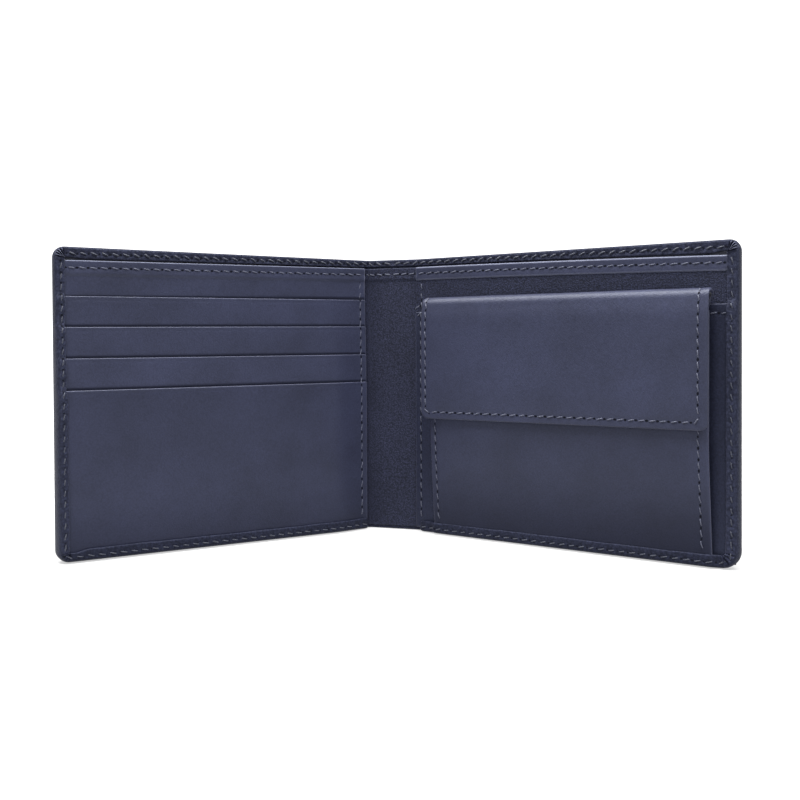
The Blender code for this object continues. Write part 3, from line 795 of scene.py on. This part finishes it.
def make_cover(name, cover, nodes):
    """One half of the outer leather with its half of the spine, edges turned in all round."""
    half = cover.half
    span = (MID_SPINE, cover.width - EDGE_INSET)
    height = (EDGE_INSET, HEIGHT - EDGE_INSET)
    radii = (0.01, cover.low_radius - EDGE_INSET, TOP_RADIUS - EDGE_INSET, 0.01)
    x, z, out_start, out_end = face_grid(span, height, radii, 0.8, (-half.reach, 0.0, half.reach), (),
                                         corner_steps=26)
    rows, columns = x.shape
    loop = border(rows, columns)[:2 * columns + rows - 2]
    out = border_out(columns, out_start, out_end)[:len(loop)]
    edge_x, edge_z = x.ravel()[loop] + out[:, 0] * EDGE_INSET, z.ravel()[loop] + out[:, 1] * EDGE_INSET
    along = np.concatenate([[0], np.cumsum(np.hypot(np.diff(edge_x), np.diff(edge_z)))])
    up = cover.turn(out)
    ridge, fan = pleats(up)
    # painted highlight on the crests of the corner pleats and painted shade in the folds between them
    pleat_highlight_and_shade = (0.9 * smooth(ridge, 0.6, 1.0) - 0.9 * smooth(-ridge, 0.2, 1.0)) * fan
    # painted shade along the bottom edge
    bottom_shade = 0.38 * share_of_half(edge_x) * smooth(-out[:, 1], 0.3, 0.9)
    ripple = 0.10 * wobble(x, z, cover.seed, 31) * between(z, 4, 16, 78, 89) * smooth(x, -4, 8)
    unmarked = np.zeros(x.size)
    parts = [(x.ravel(), (COVER_BACK - np.maximum(ripple, -0.05)).ravel(), z.ravel(), unmarked)]
    profile = cover_profile(cover.front(edge_x, edge_z, out), cover.reach(edge_x, edge_z, out))
    for k, (inward, depth, rubbed_and_painted_light, pulled) in enumerate(profile[1:]):
        px, pz = edge_x - out[:, 0] * inward, edge_z - out[:, 1] * inward
        wear_and_painted_light = np.full(len(loop), float(rubbed_and_painted_light))
        if pulled:
            depth = depth + edge_relief(cover, px, pz, up, inward, along)
            wear_and_painted_light = wear_and_painted_light * (0.1 + 0.9 * share_of_half(edge_x)) - bottom_shade + pleat_highlight_and_shade
        elif k < ROUND_STEPS:
            depth = depth - groove(inward - EDGE_ROW, along, 0.12)
        parts.append((px, depth, pz, wear_and_painted_light))
    parts.append((x.ravel(), np.full(x.size, COVER_INSIDE), z.ravel(), unmarked))
    xs, depths, zs, wears = joined_rows(parts)
    faces, rings = shell_faces(rows, columns, loop, len(parts) - 2, closed=False, flip=True)
    start = np.arange(rows) * columns
    inner = rings[-1][0] + start
    end_face = [ring[0] for ring in rings] + [*inner[1:]] + [ring[-1] for ring in rings][-2::-1]
    faces.append([int(i) for i in end_face + [*start[-2:0:-1]]])
    flat = np.stack([-xs - SPINE_WIDTH if half is RIGHT else xs, zs, depths * 2], -1)
    return make_mesh(name, nodes, FOLD_BENDS[half], cover.place(xs, depths, zs), faces, flat, wears,
                     [COVER_LOOK])


LEFT_COVER = Cover(LEFT, LEFT_WIDTH, 3.5, 3.15, steps=CARD_TOPS, flare=0.0, seed=1,
                   bottom_depth=lambda x: 0.75 + pressed(x, 5.1))
RIGHT_COVER = Cover(RIGHT, RIGHT_WIDTH + 0.25, 5.0, 3.45, steps=(SLIP_TOP,), flare=0.25, seed=2,
                    bottom_depth=lambda x: 3.9 + 1.15 * between(x, 6.5, 9.5, 98.5, 101.5))
COVERS = {"left": LEFT_COVER, "right": RIGHT_COVER}


def edge_route(cover):
    """Route of the perimeter seam: along the bottom, round the corner and up the side."""
    radius = cover.low_radius - EDGE_ROW
    centre = (cover.width - cover.low_radius, cover.low_radius)
    return [(2.6, EDGE_ROW),
            *((centre[0] + radius * cos(angle), centre[1] + radius * sin(angle))
              for angle in np.radians(np.linspace(-90, 0, 9))),
            (cover.width - EDGE_ROW, HEIGHT - 4.4)]


def seam_surface(cover):
    """Depth of the turned edge under the perimeter seam."""
    def surface(x, z):
        low = z < cover.low_radius
        out_x = np.where(low, np.maximum(x - (cover.width - cover.low_radius), 1e-4), 1.0)
        out_z = np.where(low, z - cover.low_radius, 0.0)
        return cover.front(x, z, np.stack([out_x, out_z], -1)) - 0.12 - 0.08 * smooth(z, 6, 14)
    return surface


def make_covers():
    """Both halves of the outer leather and the seams that hold their turned edges."""
    behind = lambda x, z: 0 * x + COVER_BACK + 0.06
    in_band = lambda x, z: 0 * x + BAND_DEPTH - 0.06
    for number, (label, cover) in enumerate(COVERS.items()):
        half, bend, edge = cover.half, FOLD_BENDS[cover.half], edge_route(cover)
        make_cover(f"outer_leather_{label}", cover, [f"cover_{label}"] + spine_node("cover", half))
        stitch_row(f"edge_stitches_{label}", [f"edge_thread_{label}"], BODY[half], cover.place, edge,
                   seam_surface(cover), EDGE_SEWING, seed=1 + number)
        stitch_row(f"edge_stitches_back_{label}", [], BODY[half], cover.place, edge, behind, EDGE_SEWING,
                   side=-1, seed=3 + number)
        top = [(x, HEIGHT - 0.55 * float(cover.band(x)))
               for x in np.linspace(MID_SPINE + 0.2, cover.width - 4, 8)]
        stitch_row(f"top_stitches_{label}", [f"top_thread_{label}"] + spine_node("top_thread", half), bend,
                   cover.place, top, in_band, EDGE_SEWING, radius=TOP_STITCH_RADIUS, slanted=TOP_SLANT,
                   seed=5 + number)
        stitch_row(f"top_stitches_back_{label}", [], bend, cover.place, top, behind, EDGE_SEWING, side=-1,
                   seed=7 + number)


# ---- bill compartment ----

def spine_to_half(x, spine, half):
    """A depth on the spine easing to another on the half."""
    return mixed(spine, half, smooth(x, -1.5, 4.0))


def make_bill_lining():
    """Fabric on the back wall of the bill compartment, one sheet for each half."""
    front = lambda x, z: 0.98 + 0.05 * wobble(x, z, 3, 23) * between(z, 4, 20, 80, 88)
    for label, cover in COVERS.items():
        half = cover.half
        span, height = (MID_SPINE, cover.width - COVER_WALL - 0.3), (1.1, 88.9)
        lining = sheet(f"bill_lining_cloth_{label}",
                       [f"bill_lining_{label}"] + spine_node("bill_lining", half), FOLD_BENDS[half],
                       half.place, span, height, front, LINING, thickness=0.3, step=2.2, fine_x=(0.0,),
                       rim_steps=2, joined=True, mirror=half is RIGHT)


def hem_front(base, seed):
    """Front face of a divider panel with its folded, sewn hem."""
    def front(x, z):
        fold = HEM_THICKNESS * smooth(z, HEM_LINE - 0.2, HEM_LINE + 0.2)
        soft = 0.06 * wobble(x, z, seed, 26) * (1 - smooth(z, 80, 86))
        return base(x) + fold + soft + groove(z - HEM_ROW, x)
    return front


def hung(half):
    """Place function that lets a divider sheet follow the sag of its top edge."""
    def place(x, depth, z):
        return half.place(x, depth, z + (top_line(half, x) - DIVIDER_TOP) * smooth(z, 70, 84))
    return place


def hem_stitches(label, nodes, moves, half, start, end, base, seed):
    """Seam along the divider's hem."""
    stitch_row(f"hem_stitches_{label}", nodes, moves, hung(half), [(start, HEM_ROW), (end, HEM_ROW)],
               lambda x, z: base(x) + HEM_THICKNESS - 0.08, seed=seed)


def painted_shade_low(low, high, amount):
    """Shade function: a little darker all over, with painted shade growing towards its bottom."""
    return lambda x, z: 0.2 + (amount - 0.2) * (1 - smooth(z, low, high))


def slot_lift(x, top):
    """How far a card slot's top edge lies above its height at the outer end."""
    return 0.5 - (0.85 if top > 60 else 0.5) * (x - 3) / 95


def painted_shade_behind_edge(top):
    """Shade function: painted shade, a dark line just above the top edge of the card slot in front."""
    def shade(x, z):
        above = z - top - slot_lift(x, top)
        near = np.exp(-(np.maximum(above - 0.35, 0) / 0.45) ** 2) * smooth(above, -2.0, -1.0)
        return near * squeeze(x, 1.5, 103, 1.0)
    return shade


def spine_shade(side):
    """Shade function of the spine's leather: painted shade in its crease, and by side painted shade at its
    middle, with uneven tone.
    """
    return lambda x, z: (0.55 * np.exp(-np.abs(x - 2.8) / 0.8) + side * smooth(x, MID_SPINE, -2.0)
                         + 0.06 * wobble(x, z, 9, 40))


def make_divider():
    """Front wall of the bill compartment: grained leather over the spine, a hemmed panel on each half."""
    on_spine = lambda x: spine_to_half(x, SPINE_FRONT, 2.15)
    on_left = lambda x: DIVIDER_FACE + 0 * x
    on_right = lambda x: spine_to_half(x, SPINE_FRONT + 0.5, DIVIDER_FACE)
    height = (DIVIDER_BOTTOM, DIVIDER_TOP)
    for half, label, liner_end, seam_end, side in ((LEFT, "left", 7.0, 2.4, 0.22),
                                                   (RIGHT, "right", 4.5, -0.6, 0)):
        sheet(f"spine_leather_{label}", spine_node("divider", half), FOLD_BENDS[half], hung(half),
              (MID_SPINE, liner_end), (DIVIDER_BOTTOM, DIVIDER_TOP - 0.1), hem_front(on_spine, 5), GRAINED,
              thickness=0.45, step=0.9, fine_z=(HEM_ROW, HEM_LINE), seed=3, joined=True, mirror=half is RIGHT,
              shade=spine_shade(side))
        hem_stitches(f"spine_{label}", spine_node("hem_thread", half), FOLD_BENDS[half], half,
                     MID_SPINE + 0.2, seam_end, on_spine, 10)

    sheet("divider_panel_left", ["divider_left"], "left_half", hung(LEFT), (2.8, LEFT_WIDTH - 1.2), height,
          hem_front(on_left, 7), SMOOTH, fine_z=(HEM_ROW, HEM_LINE, CARD_TOPS[0] + 0.2), seed=4,
          shade=painted_shade_behind_edge(CARD_TOPS[0]), rubbed_and_painted_light=0.8)
    hem_stitches("left", ["hem_thread_left"], "left_half", LEFT, 3.6, LEFT_WIDTH - 3.4, on_left, 11)

    sheet("divider_panel_right", ["divider_right"], SPINE_SIDE, hung(RIGHT), (0.2, RIGHT_WIDTH - 1.2),
          (DIVIDER_BOTTOM, DIVIDER_TOP - 0.4), lambda x, z: on_right(x) + 0.05 * wobble(x, z, 8, 22), GRAINED,
          thickness=0.45, step=1.4, fine_x=(PANEL_ROW,), seed=6)
    sheet("divider_hem_right", [], SPINE_SIDE, hung(RIGHT), (0.1, RIGHT_WIDTH - 2.6),
          (HEM_LINE - 0.3, DIVIDER_TOP), lambda x, z: on_right(x) + HEM_THICKNESS + groove(z - HEM_ROW, x),
          SMOOTH, thickness=0.95, step=1.1, fine_z=(HEM_ROW,), seed=7, rubbed_and_painted_light=0.7)
    hem_stitches("right", ["hem_thread_right"], SPINE_SIDE, RIGHT, 1.0, RIGHT_WIDTH - 3.8, on_right, 12)


# ---- card slots ----

def card_front(i, top, thickness):
    """Front face of one card pocket: relaxed in the middle, creased along its top edge."""
    def front(x, z):
        relaxed = 0.22 * squeeze(x, 6, 100) * smooth(z, top - 30, top - 2)
        crease = -0.07 * np.exp(-((z - (top - 1.1)) / 0.22) ** 2)
        soft = 0.05 * wobble(x, z, 10 + i, 29)
        seam = groove(x - CARD_SEAM, z) * smooth(z, 3.6, 4.2)
        return CARD_BACKING + i * CARD_STEP + thickness + relaxed + crease + soft + seam
    return front


def make_card_slots():
    """Four stepped pockets with their fabric tongues, and the seam down their inner edge."""
    last = len(CARD_TOPS) - 1
    for i, top in enumerate(CARD_TOPS):
        if i == last:
            name, node, bottom, thickness = "card_panel_leather", "card_front_panel", 1.6, CARD_LEATHER + 0.1
            following, shade = bottom, painted_shade_low(2.0, 20.0, 0.50)
        else:
            name, node = f"card_slot_leather_{i + 1}", f"card_slot_{i + 1}"
            bottom, thickness = top - 14.0, CARD_LEATHER
            following, shade = CARD_TOPS[i + 1], painted_shade_behind_edge(CARD_TOPS[i + 1])

        def place(x, depth, z, top=top):
            return left_place(x, depth, z + slot_lift(x, top) * smooth(z, top - 8, top - 2))
        sheet(name, [node], "left_half", place, (2.8 - 0.06 * i, LEFT_WIDTH - 1.3), (bottom, top),
              card_front(i, top, thickness), SMOOTH, thickness=thickness, fine_x=(CARD_SEAM,),
              fine_z=(top - 1.1, following + 0.2), seed=10 + i, rubbed_and_painted_light=0.4, shade=shade)
        if i < last:
            span, height = (4.0, 100.0), (top - CARD_DEPTH, bottom - 0.2)
            tongue = sheet(f"card_tongue_cloth_{i + 1}", [f"card_tongue_{i + 1}"], "left_half",
                           LEFT.place, span, height,
                           lambda x, z, i=i: pressed(x, 2.9 + i * CARD_STEP) + 0.03 * wobble(x, z, i, 19),
                           LINING, thickness=0.3, step=4.0, rim_steps=2)

    def seam(x, z):
        layer = sum((z < top + 0.5).astype(int) for top in CARD_TOPS)
        front = CARD_BACKING + (layer - 1) * CARD_STEP + CARD_LEATHER + 0.1 * (layer == last + 1)
        return np.where(layer == 0, DIVIDER_FACE, front) - 0.01
    stitch_row("card_stitches", ["card_thread"], "left_half", left_place,
               [(CARD_SEAM, 4.6), (CARD_SEAM, 84.6)], seam, seed=13)


# ---- slip pocket and pouch ----

def make_slip_pocket():
    """Leather pocket behind the coin pouch, sewn at its inner edge and along its top."""
    row = SLIP_TOP - 2.6
    base = lambda x: spine_to_half(x, SPINE_FRONT + 1.0, SLIP_FRONT)
    lift = lambda x, z: 0.25 * smooth(x, 94, 100) * smooth(z, 66, 74)

    def front(x, z):
        seams = groove(x - PANEL_ROW, z) + groove(z - row, x) * smooth(x, 2.5, 3.5)
        return base(x) + lift(x, z) + seams + 0.05 * wobble(x, z, 20, 24)

    # painted shadow of the pouch on the slip pocket, beside its outer edge
    def pouch_shadow(x, z):
        return 0.55 * np.exp(-np.maximum(x - POUCH_SPAN[1], 0) / 1.1) * (x > 50) * (1 - smooth(z, 66, 73))

    def panel_face(x, z):
        field = spine_to_half(x, SPINE_FRONT + 0.5, DIVIDER_FACE)
        return np.where(z < SLIP_TOP, base(x), field) - 0.08
    sheet("slip_pocket_leather", ["slip_pocket"], SPINE_SIDE, RIGHT.place, (0.45, RIGHT_WIDTH - 1.3),
          (1.6, SLIP_TOP), front, POCKET, fine_x=(PANEL_ROW, POUCH_SPAN[1] + 0.6), fine_z=(row,), seed=20,
          shade=pouch_shadow)
    stitch_row("panel_stitches", ["panel_thread"], SPINE_SIDE, RIGHT.place,
               [(PANEL_ROW, 4.6), (PANEL_ROW, 84.2)], panel_face, seed=14)
    for label, start, end in (("inner", 3.4, 8.4), ("outer", 97.7, 103.9)):
        stitch_row(f"slip_stitches_{label}", [f"slip_thread_{label}"], "right_half", RIGHT.place,
                   [(start, row), (end, row)], lambda x, z: base(x) + lift(x, z) - 0.04, seed=15)
    stitch_row("slip_bar_tack", [], SPINE_SIDE, RIGHT.place,
               [(0.7, 72.6), (2.5, 73.4), (0.9, 75.4), (2.6, 76.0)], lambda x, z: base(x) + 0.02, seed=16)


def pouch_fill(z):
    """How far the pouch stands out at a height: sewn flat at the bottom, full behind the flap."""
    rise = np.clip((z - 1.5) / 36.0, 0, 1)
    return 0.45 * rise + 0.55 * rise * (2 - rise)


def pouch_depth(x, z):
    """Front face of the pouch."""
    belly = 0.15 * squeeze(x, *POUCH_SPAN, 18.0) * between(z, 8, 25, 40, 47)
    rolled = -0.25 * (1 - squeeze(x, *POUCH_SPAN, 2.2))
    return POUCH_LOW + (POUCH_FRONT + belly + rolled - POUCH_LOW) * pouch_fill(z)


def pouch_place(x, depth, z):
    """Places the pouch front, whose outer side spreads towards the bottom."""
    spread = 0.75 * (1 - smooth(z, 0, 62)) - 0.5 * smooth(z, 45, 72)
    return RIGHT.place(x + spread * smooth(x, 60, POUCH_SPAN[1]), depth, z)


def make_pouch():
    """Pouch front with its backing and seams; it leans forward from its sewn bottom."""
    rows = (POUCH_SPAN[0] + 2.0, POUCH_SPAN[1] - 2.8)

    def front(x, z):
        seams = groove(x - rows[0], z) + groove(x - rows[1], z)
        return pouch_depth(x, z) + seams + 0.05 * wobble(x, z, 25, 27)
    sheet("pouch_front_leather", ["pouch_front"], POUCH_LEAN, pouch_place, POUCH_SPAN, (2.4, POUCH_TOP),
          front, SMOOTH, thickness=0.65, radii=(0.5, 0.5, 2.0, 2.0), fine_x=rows, seed=25, rubbed_and_painted_light=0.3,
          shade=painted_shade_low(2.0, 27.0, 0.75))
    span, height = (POUCH_SPAN[0] + 0.8, POUCH_SPAN[1] - 0.8), (5.0, POUCH_TOP - 0.6)
    lining = sheet("pouch_lining_cloth", ["pouch_lining"], POUCH_LEAN, pouch_place, span, height,
                   lambda x, z: pouch_depth(x, z) - 0.72, LINING, thickness=0.25, step=2.5, rim_steps=2)
    for label, x in zip(("inner", "outer"), rows):
        stitch_row(f"pouch_stitches_{label}", [f"pouch_thread_{label}"], POUCH_LEAN, pouch_place,
                   [(x, 5.0), (x, POUCH_TOP - 1.2)], lambda x, z: pouch_depth(x, z) - 0.08, seed=17)


def make_gussets():
    """Sides of the pouch, each folded inward between its back wall and its front."""
    thickness, width, fold, back = 0.4, 10.0, 5.0, 4.2
    spread = ("right_half", "pouch_front_wall", RIGHT.point(50, back, 40), RIGHT.point(50, 6.5, 40))
    for label, edge, inward in (("inner", POUCH_SPAN[0] + 0.3, 1), ("outer", POUCH_SPAN[1] - 0.3, -1)):
        def place(x, depth, z, edge=edge, inward=inward):
            room = np.maximum(pouch_depth(50.0, z) - 1.0 - back, 0.02)
            run = edge + inward * fold * np.sin(pi * x / width)
            level = back + room * x / width
            slope_run = inward * fold * pi / width * np.cos(pi * x / width)
            slope_level = room / width
            length = np.hypot(slope_run, slope_level)
            return RIGHT.place(run - depth * slope_level / length,
                               level + depth * slope_run / length * inward, z)
        sheet(f"pouch_side_{label}", [f"pouch_gusset_{label}"], spread, place, (0.0, width),
              (3.2, POUCH_TOP - 1.2), lambda x, z: 0 * x + thickness / 2, SMOOTH, thickness=thickness,
              step=1.0, rim_steps=2, seed=30)


# ---- flap ----

def flap_place(x, depth, s):
    """Over the roll: s is the height on the front, and runs on over the crest and down the back.

    Below its crest the leather falls away, where it is bent softly rather than round.
    """
    x, depth, s = arrays(x, depth, s)
    past = s - AXIS_Z
    turn = np.clip(past / ROLL, 0, pi)
    out = depth + ROLL - 0.75 * np.exp(-((past - 1.0) / 3.6) ** 2)
    behind = smooth(past, 2.5, ROLL_LENGTH)
    below = smooth(past, ROLL_LENGTH - 2.0, ROLL_LENGTH + 4.0)
    share = (x - FLAP_SPAN[0]) / (FLAP_SPAN[1] - FLAP_SPAN[0])
    z = AXIS_Z + out * np.sin(turn) + np.minimum(past, 0) - np.maximum(past - ROLL_LENGTH, 0)
    return RIGHT.place(x + behind * mixed(2.4, 0.3, share) - 1.6 * below * share,
                       AXIS_DEPTH + out * np.cos(turn), z)


def make_flap():
    """Flap leather that rolls over from the pouch's back wall, with its backing and seam."""
    left, right = FLAP_SEAM
    low = FLAP_SEAM_LOW
    back_bottom = 1.6
    end = AXIS_Z + ROLL_LENGTH + AXIS_Z - back_bottom
    thicken = lambda s: smooth(s, AXIS_Z + 1, AXIS_Z + 7)

    def front(x, s):
        on_front = 1 - smooth(s, AXIS_Z + 3.5, AXIS_Z + 6.5)
        sides = (groove(x - left, s) + groove(x - right, s)) * smooth(s, low - 0.8, low) * on_front
        bottom = groove(s - low, x) * between(x, left - 0.8, left, right, right + 0.8)
        belly = 0.16 * squeeze(x, left, right, 10) * between(s, low, low + 8, 60, 72)
        return sides + bottom + belly + 0.04 * wobble(x, s, 31, 33) * on_front
    sheet("flap_leather", ["coin_flap", "flap_roll", "pouch_back"], FLAP_SWING, flap_place, FLAP_SPAN,
          (FLAP_BOTTOM, end), front, SMOOTH, thickness=0.85, radii=(2.5, 2.2, 1.0, 1.0), step=1.4,
          fine_x=FLAP_SEAM, fine_z=(low, AXIS_Z + 1.2, AXIS_Z + 3.5, AXIS_Z + 6.0, AXIS_Z + 8.0), rim_steps=5,
          edge_drop=0.05, seed=31, rubbed_and_painted_light=0.25, bulk=lambda x, s: 1 + 0.5 * thicken(s))
    span, height = (FLAP_SPAN[0] + 0.5, FLAP_SPAN[1] - 0.4), (FLAP_BOTTOM + 1.0, AXIS_Z + ROLL_LENGTH + 3.0)
    lining = sheet("flap_lining_cloth", ["flap_lining"], FLAP_SWING, flap_place, span, height,
                   lambda x, s: -0.92 - 0.43 * thicken(s), LINING, thickness=0.25, radii=(2.0, 2.0, 0, 0),
                   step=1.2, rim_steps=2, rubbed_and_painted_light=0)
    for name, nodes, top, depth, side in (("flap_stitches", ["flap_thread"], AXIS_Z + 4.7, -0.07, 1),
                                          ("flap_stitches_inside", [], AXIS_Z - 1.2, -1.15, -1)):
        route = [(left, top), (left, low + 0.8), (left + 0.8, low), (right - 0.8, low), (right, low + 0.8),
                 (right, top)]
        stitch_row(name, nodes, FLAP_SWING, flap_place, route, lambda x, s, depth=depth: depth + 0 * x,
                   side=side, seed=18)


def lathe(name, node, body, profile):
    """Round metal piece about the press stud's axis; the profile is a list of (radius, depth)."""
    turns = np.linspace(0, TURN, SNAP_SIDES, endpoint=False)
    radii, depths = (np.array(column)[:, None] + 0 * turns for column in zip(*profile))
    x, z = SNAP[0] + radii * np.cos(turns), SNAP[1] + radii * np.sin(turns)
    rings = [k * SNAP_SIDES + np.arange(SNAP_SIDES) for k in range(len(profile))]
    faces = [quad for first, second in zip(rings, rings[1:]) for quad in ring_faces(first, second)]
    closed = profile[0] == profile[-1]
    if not closed:
        faces += [rings[0].tolist()[::-1], rings[-1].tolist()]
    flat = np.stack([radii, 0.3 * turns + 0 * x, depths], -1).reshape(-1, 3)
    piece = make_mesh(name, [node], body, RIGHT.place(x.ravel(), depths.ravel(), z.ravel()), faces, flat,
                      np.zeros(x.size), [NICKEL])
    if closed:
        bm = bmesh.new()
        bm.from_mesh(piece.data)
        bmesh.ops.remove_doubles(bm, verts=bm.verts, dist=0.0001 * MM)
        bm.to_mesh(piece.data)
        bm.free()
    piece.data.set_sharp_from_angle(angle=METAL_SHARP_ANGLE)


def make_snap():
    """Press stud: the stud on the pouch, its eyelet behind, and the socket in the flap's backing."""
    lathe("press_stud", "snap_stud", "pouch_front_wall",
          [(0.5, 7.0), (3.3, 7.3), (3.45, 7.42), (3.4, 7.54), (3.0, 7.6), (1.5, 7.64), (1.25, 7.72),
           (1.3, 7.82), (1.58, 7.92), (1.6, 8.0), (1.4, 8.09), (0.8, 8.13), (0.2, 8.14)])
    lathe("press_stud_eyelet", "snap_eyelet", "pouch_front_wall",
          [(1.4, 6.42), (1.6, 6.3), (2.2, 6.2), (3.4, 6.22), (3.85, 6.3), (3.9, 6.42), (1.4, 6.42)])
    lathe("press_socket", "snap_socket", "flap",
          [(2.0, 8.1), (2.0, 7.8), (2.2, 7.66), (2.7, 7.62), (3.4, 7.68), (3.95, 7.78), (4.0, 8.1),
           (2.0, 8.1)])


# ---- studio ----

def make_camera():
    """Camera at the height of the wallet's upper half, close to square on to the spine."""
    camera = bpy.data.cameras.new("camera")
    camera.lens = 42.49
    camera.sensor_width = 36.0
    camera.shift_y = -0.043
    camera.clip_start = 0.01
    made = add_object("camera", camera)
    spine = (Vector(JOINTS["left_fold"]["pos_m"]) + Vector(JOINTS["right_fold"]["pos_m"])) / 2
    tilt, pan, roll = radians(1.163), radians(-1.852), radians(-0.2207)
    forward = Vector((sin(pan) * cos(tilt), cos(pan) * cos(tilt), -sin(tilt)))
    level = Vector((cos(pan), -sin(pan), 0))
    above = level.cross(forward)
    right = level * cos(roll) + above * sin(roll)
    up = above * cos(roll) - level * sin(roll)
    matrix = Matrix((right, up, -forward)).transposed().to_4x4()
    matrix.translation = spine + Vector((0.01259, -0.32326, 0.06245))
    made.matrix_world = matrix
    bpy.context.scene.camera = made


def area_light(name, place, target, size, power):
    """Soft rectangular light aimed at a point."""
    light = bpy.data.lights.new(name, "AREA")
    light.shape = "RECTANGLE"
    light.size, light.size_y = size
    light.energy = power
    made = add_object(name, light)
    made.location = place
    made.rotation_euler = (Vector(target) - Vector(place)).to_track_quat("-Z", "Y").to_euler()


def make_cove():
    """Round white studio floor that bends up into a wall all round."""
    reach, rise, bend, steps, turns = 3.0, 2.2, 0.6, 10, 64
    section = [(0.0, 0.0), (0.6, 0.0), (1.5, 0.0)]
    for angle in np.linspace(0, pi / 2, steps + 1):
        section.append((reach - bend + bend * sin(angle), bend - bend * cos(angle)))
    section.append((reach, rise))
    bm = bmesh.new()
    edges = [bm.verts.new((radius, 0.0, z)) for radius, z in section]
    for first, second in zip(edges, edges[1:]):
        bm.edges.new((first, second))
    bmesh.ops.spin(bm, geom=list(bm.verts) + list(bm.edges), cent=(0, 0, 0), axis=(0, 0, 1), angle=TURN,
                   steps=turns, use_merge=True)
    bmesh.ops.remove_doubles(bm, verts=bm.verts, dist=0.0001)
    bmesh.ops.recalc_face_normals(bm, faces=bm.faces)
    bmesh.ops.reverse_faces(bm, faces=bm.faces)
    floor = bpy.data.meshes.new("studio_cove")
    bm.to_mesh(floor)
    bm.free()
    floor.shade_smooth()
    floor.materials.append(glowing_cove_white("studio_white_glowing").material)
    add_object("studio_cove", floor)


def make_lights():
    """Soft lights: one overhead, a fill in front, one that washes the cove, and a dim world."""
    world = bpy.data.worlds.new("studio_world")
    bpy.context.scene.world = world
    world.use_nodes = True
    background = world.node_tree.nodes["Background"]
    background.inputs["Color"].default_value = (1.0, 1.0, 1.0, 1.0)
    background.inputs["Strength"].default_value = 0.20
    target = (0.0, 0.0, 0.045)
    area_light("top_light", (-0.05, -0.14, 0.75), target, (1.1, 0.45), 23.0)
    area_light("front_light", (-0.15, -1.0, 0.55), target, (1.3, 0.8), 4.2)
    area_light("cove_light_back", (0.0, 0.9, 1.6), (0.0, 3.0, 0.6), (2.4, 0.8), 70.0)
    bpy.context.scene.view_settings.view_transform = "Standard"
    bpy.context.scene.view_settings.look = "None"


make_camera()
make_covers()
make_bill_lining()
make_divider()
make_card_slots()
make_slip_pocket()
make_pouch()
make_gussets()
make_flap()
make_snap()
make_cove()
make_lights()

bpy.context.view_layer.update()
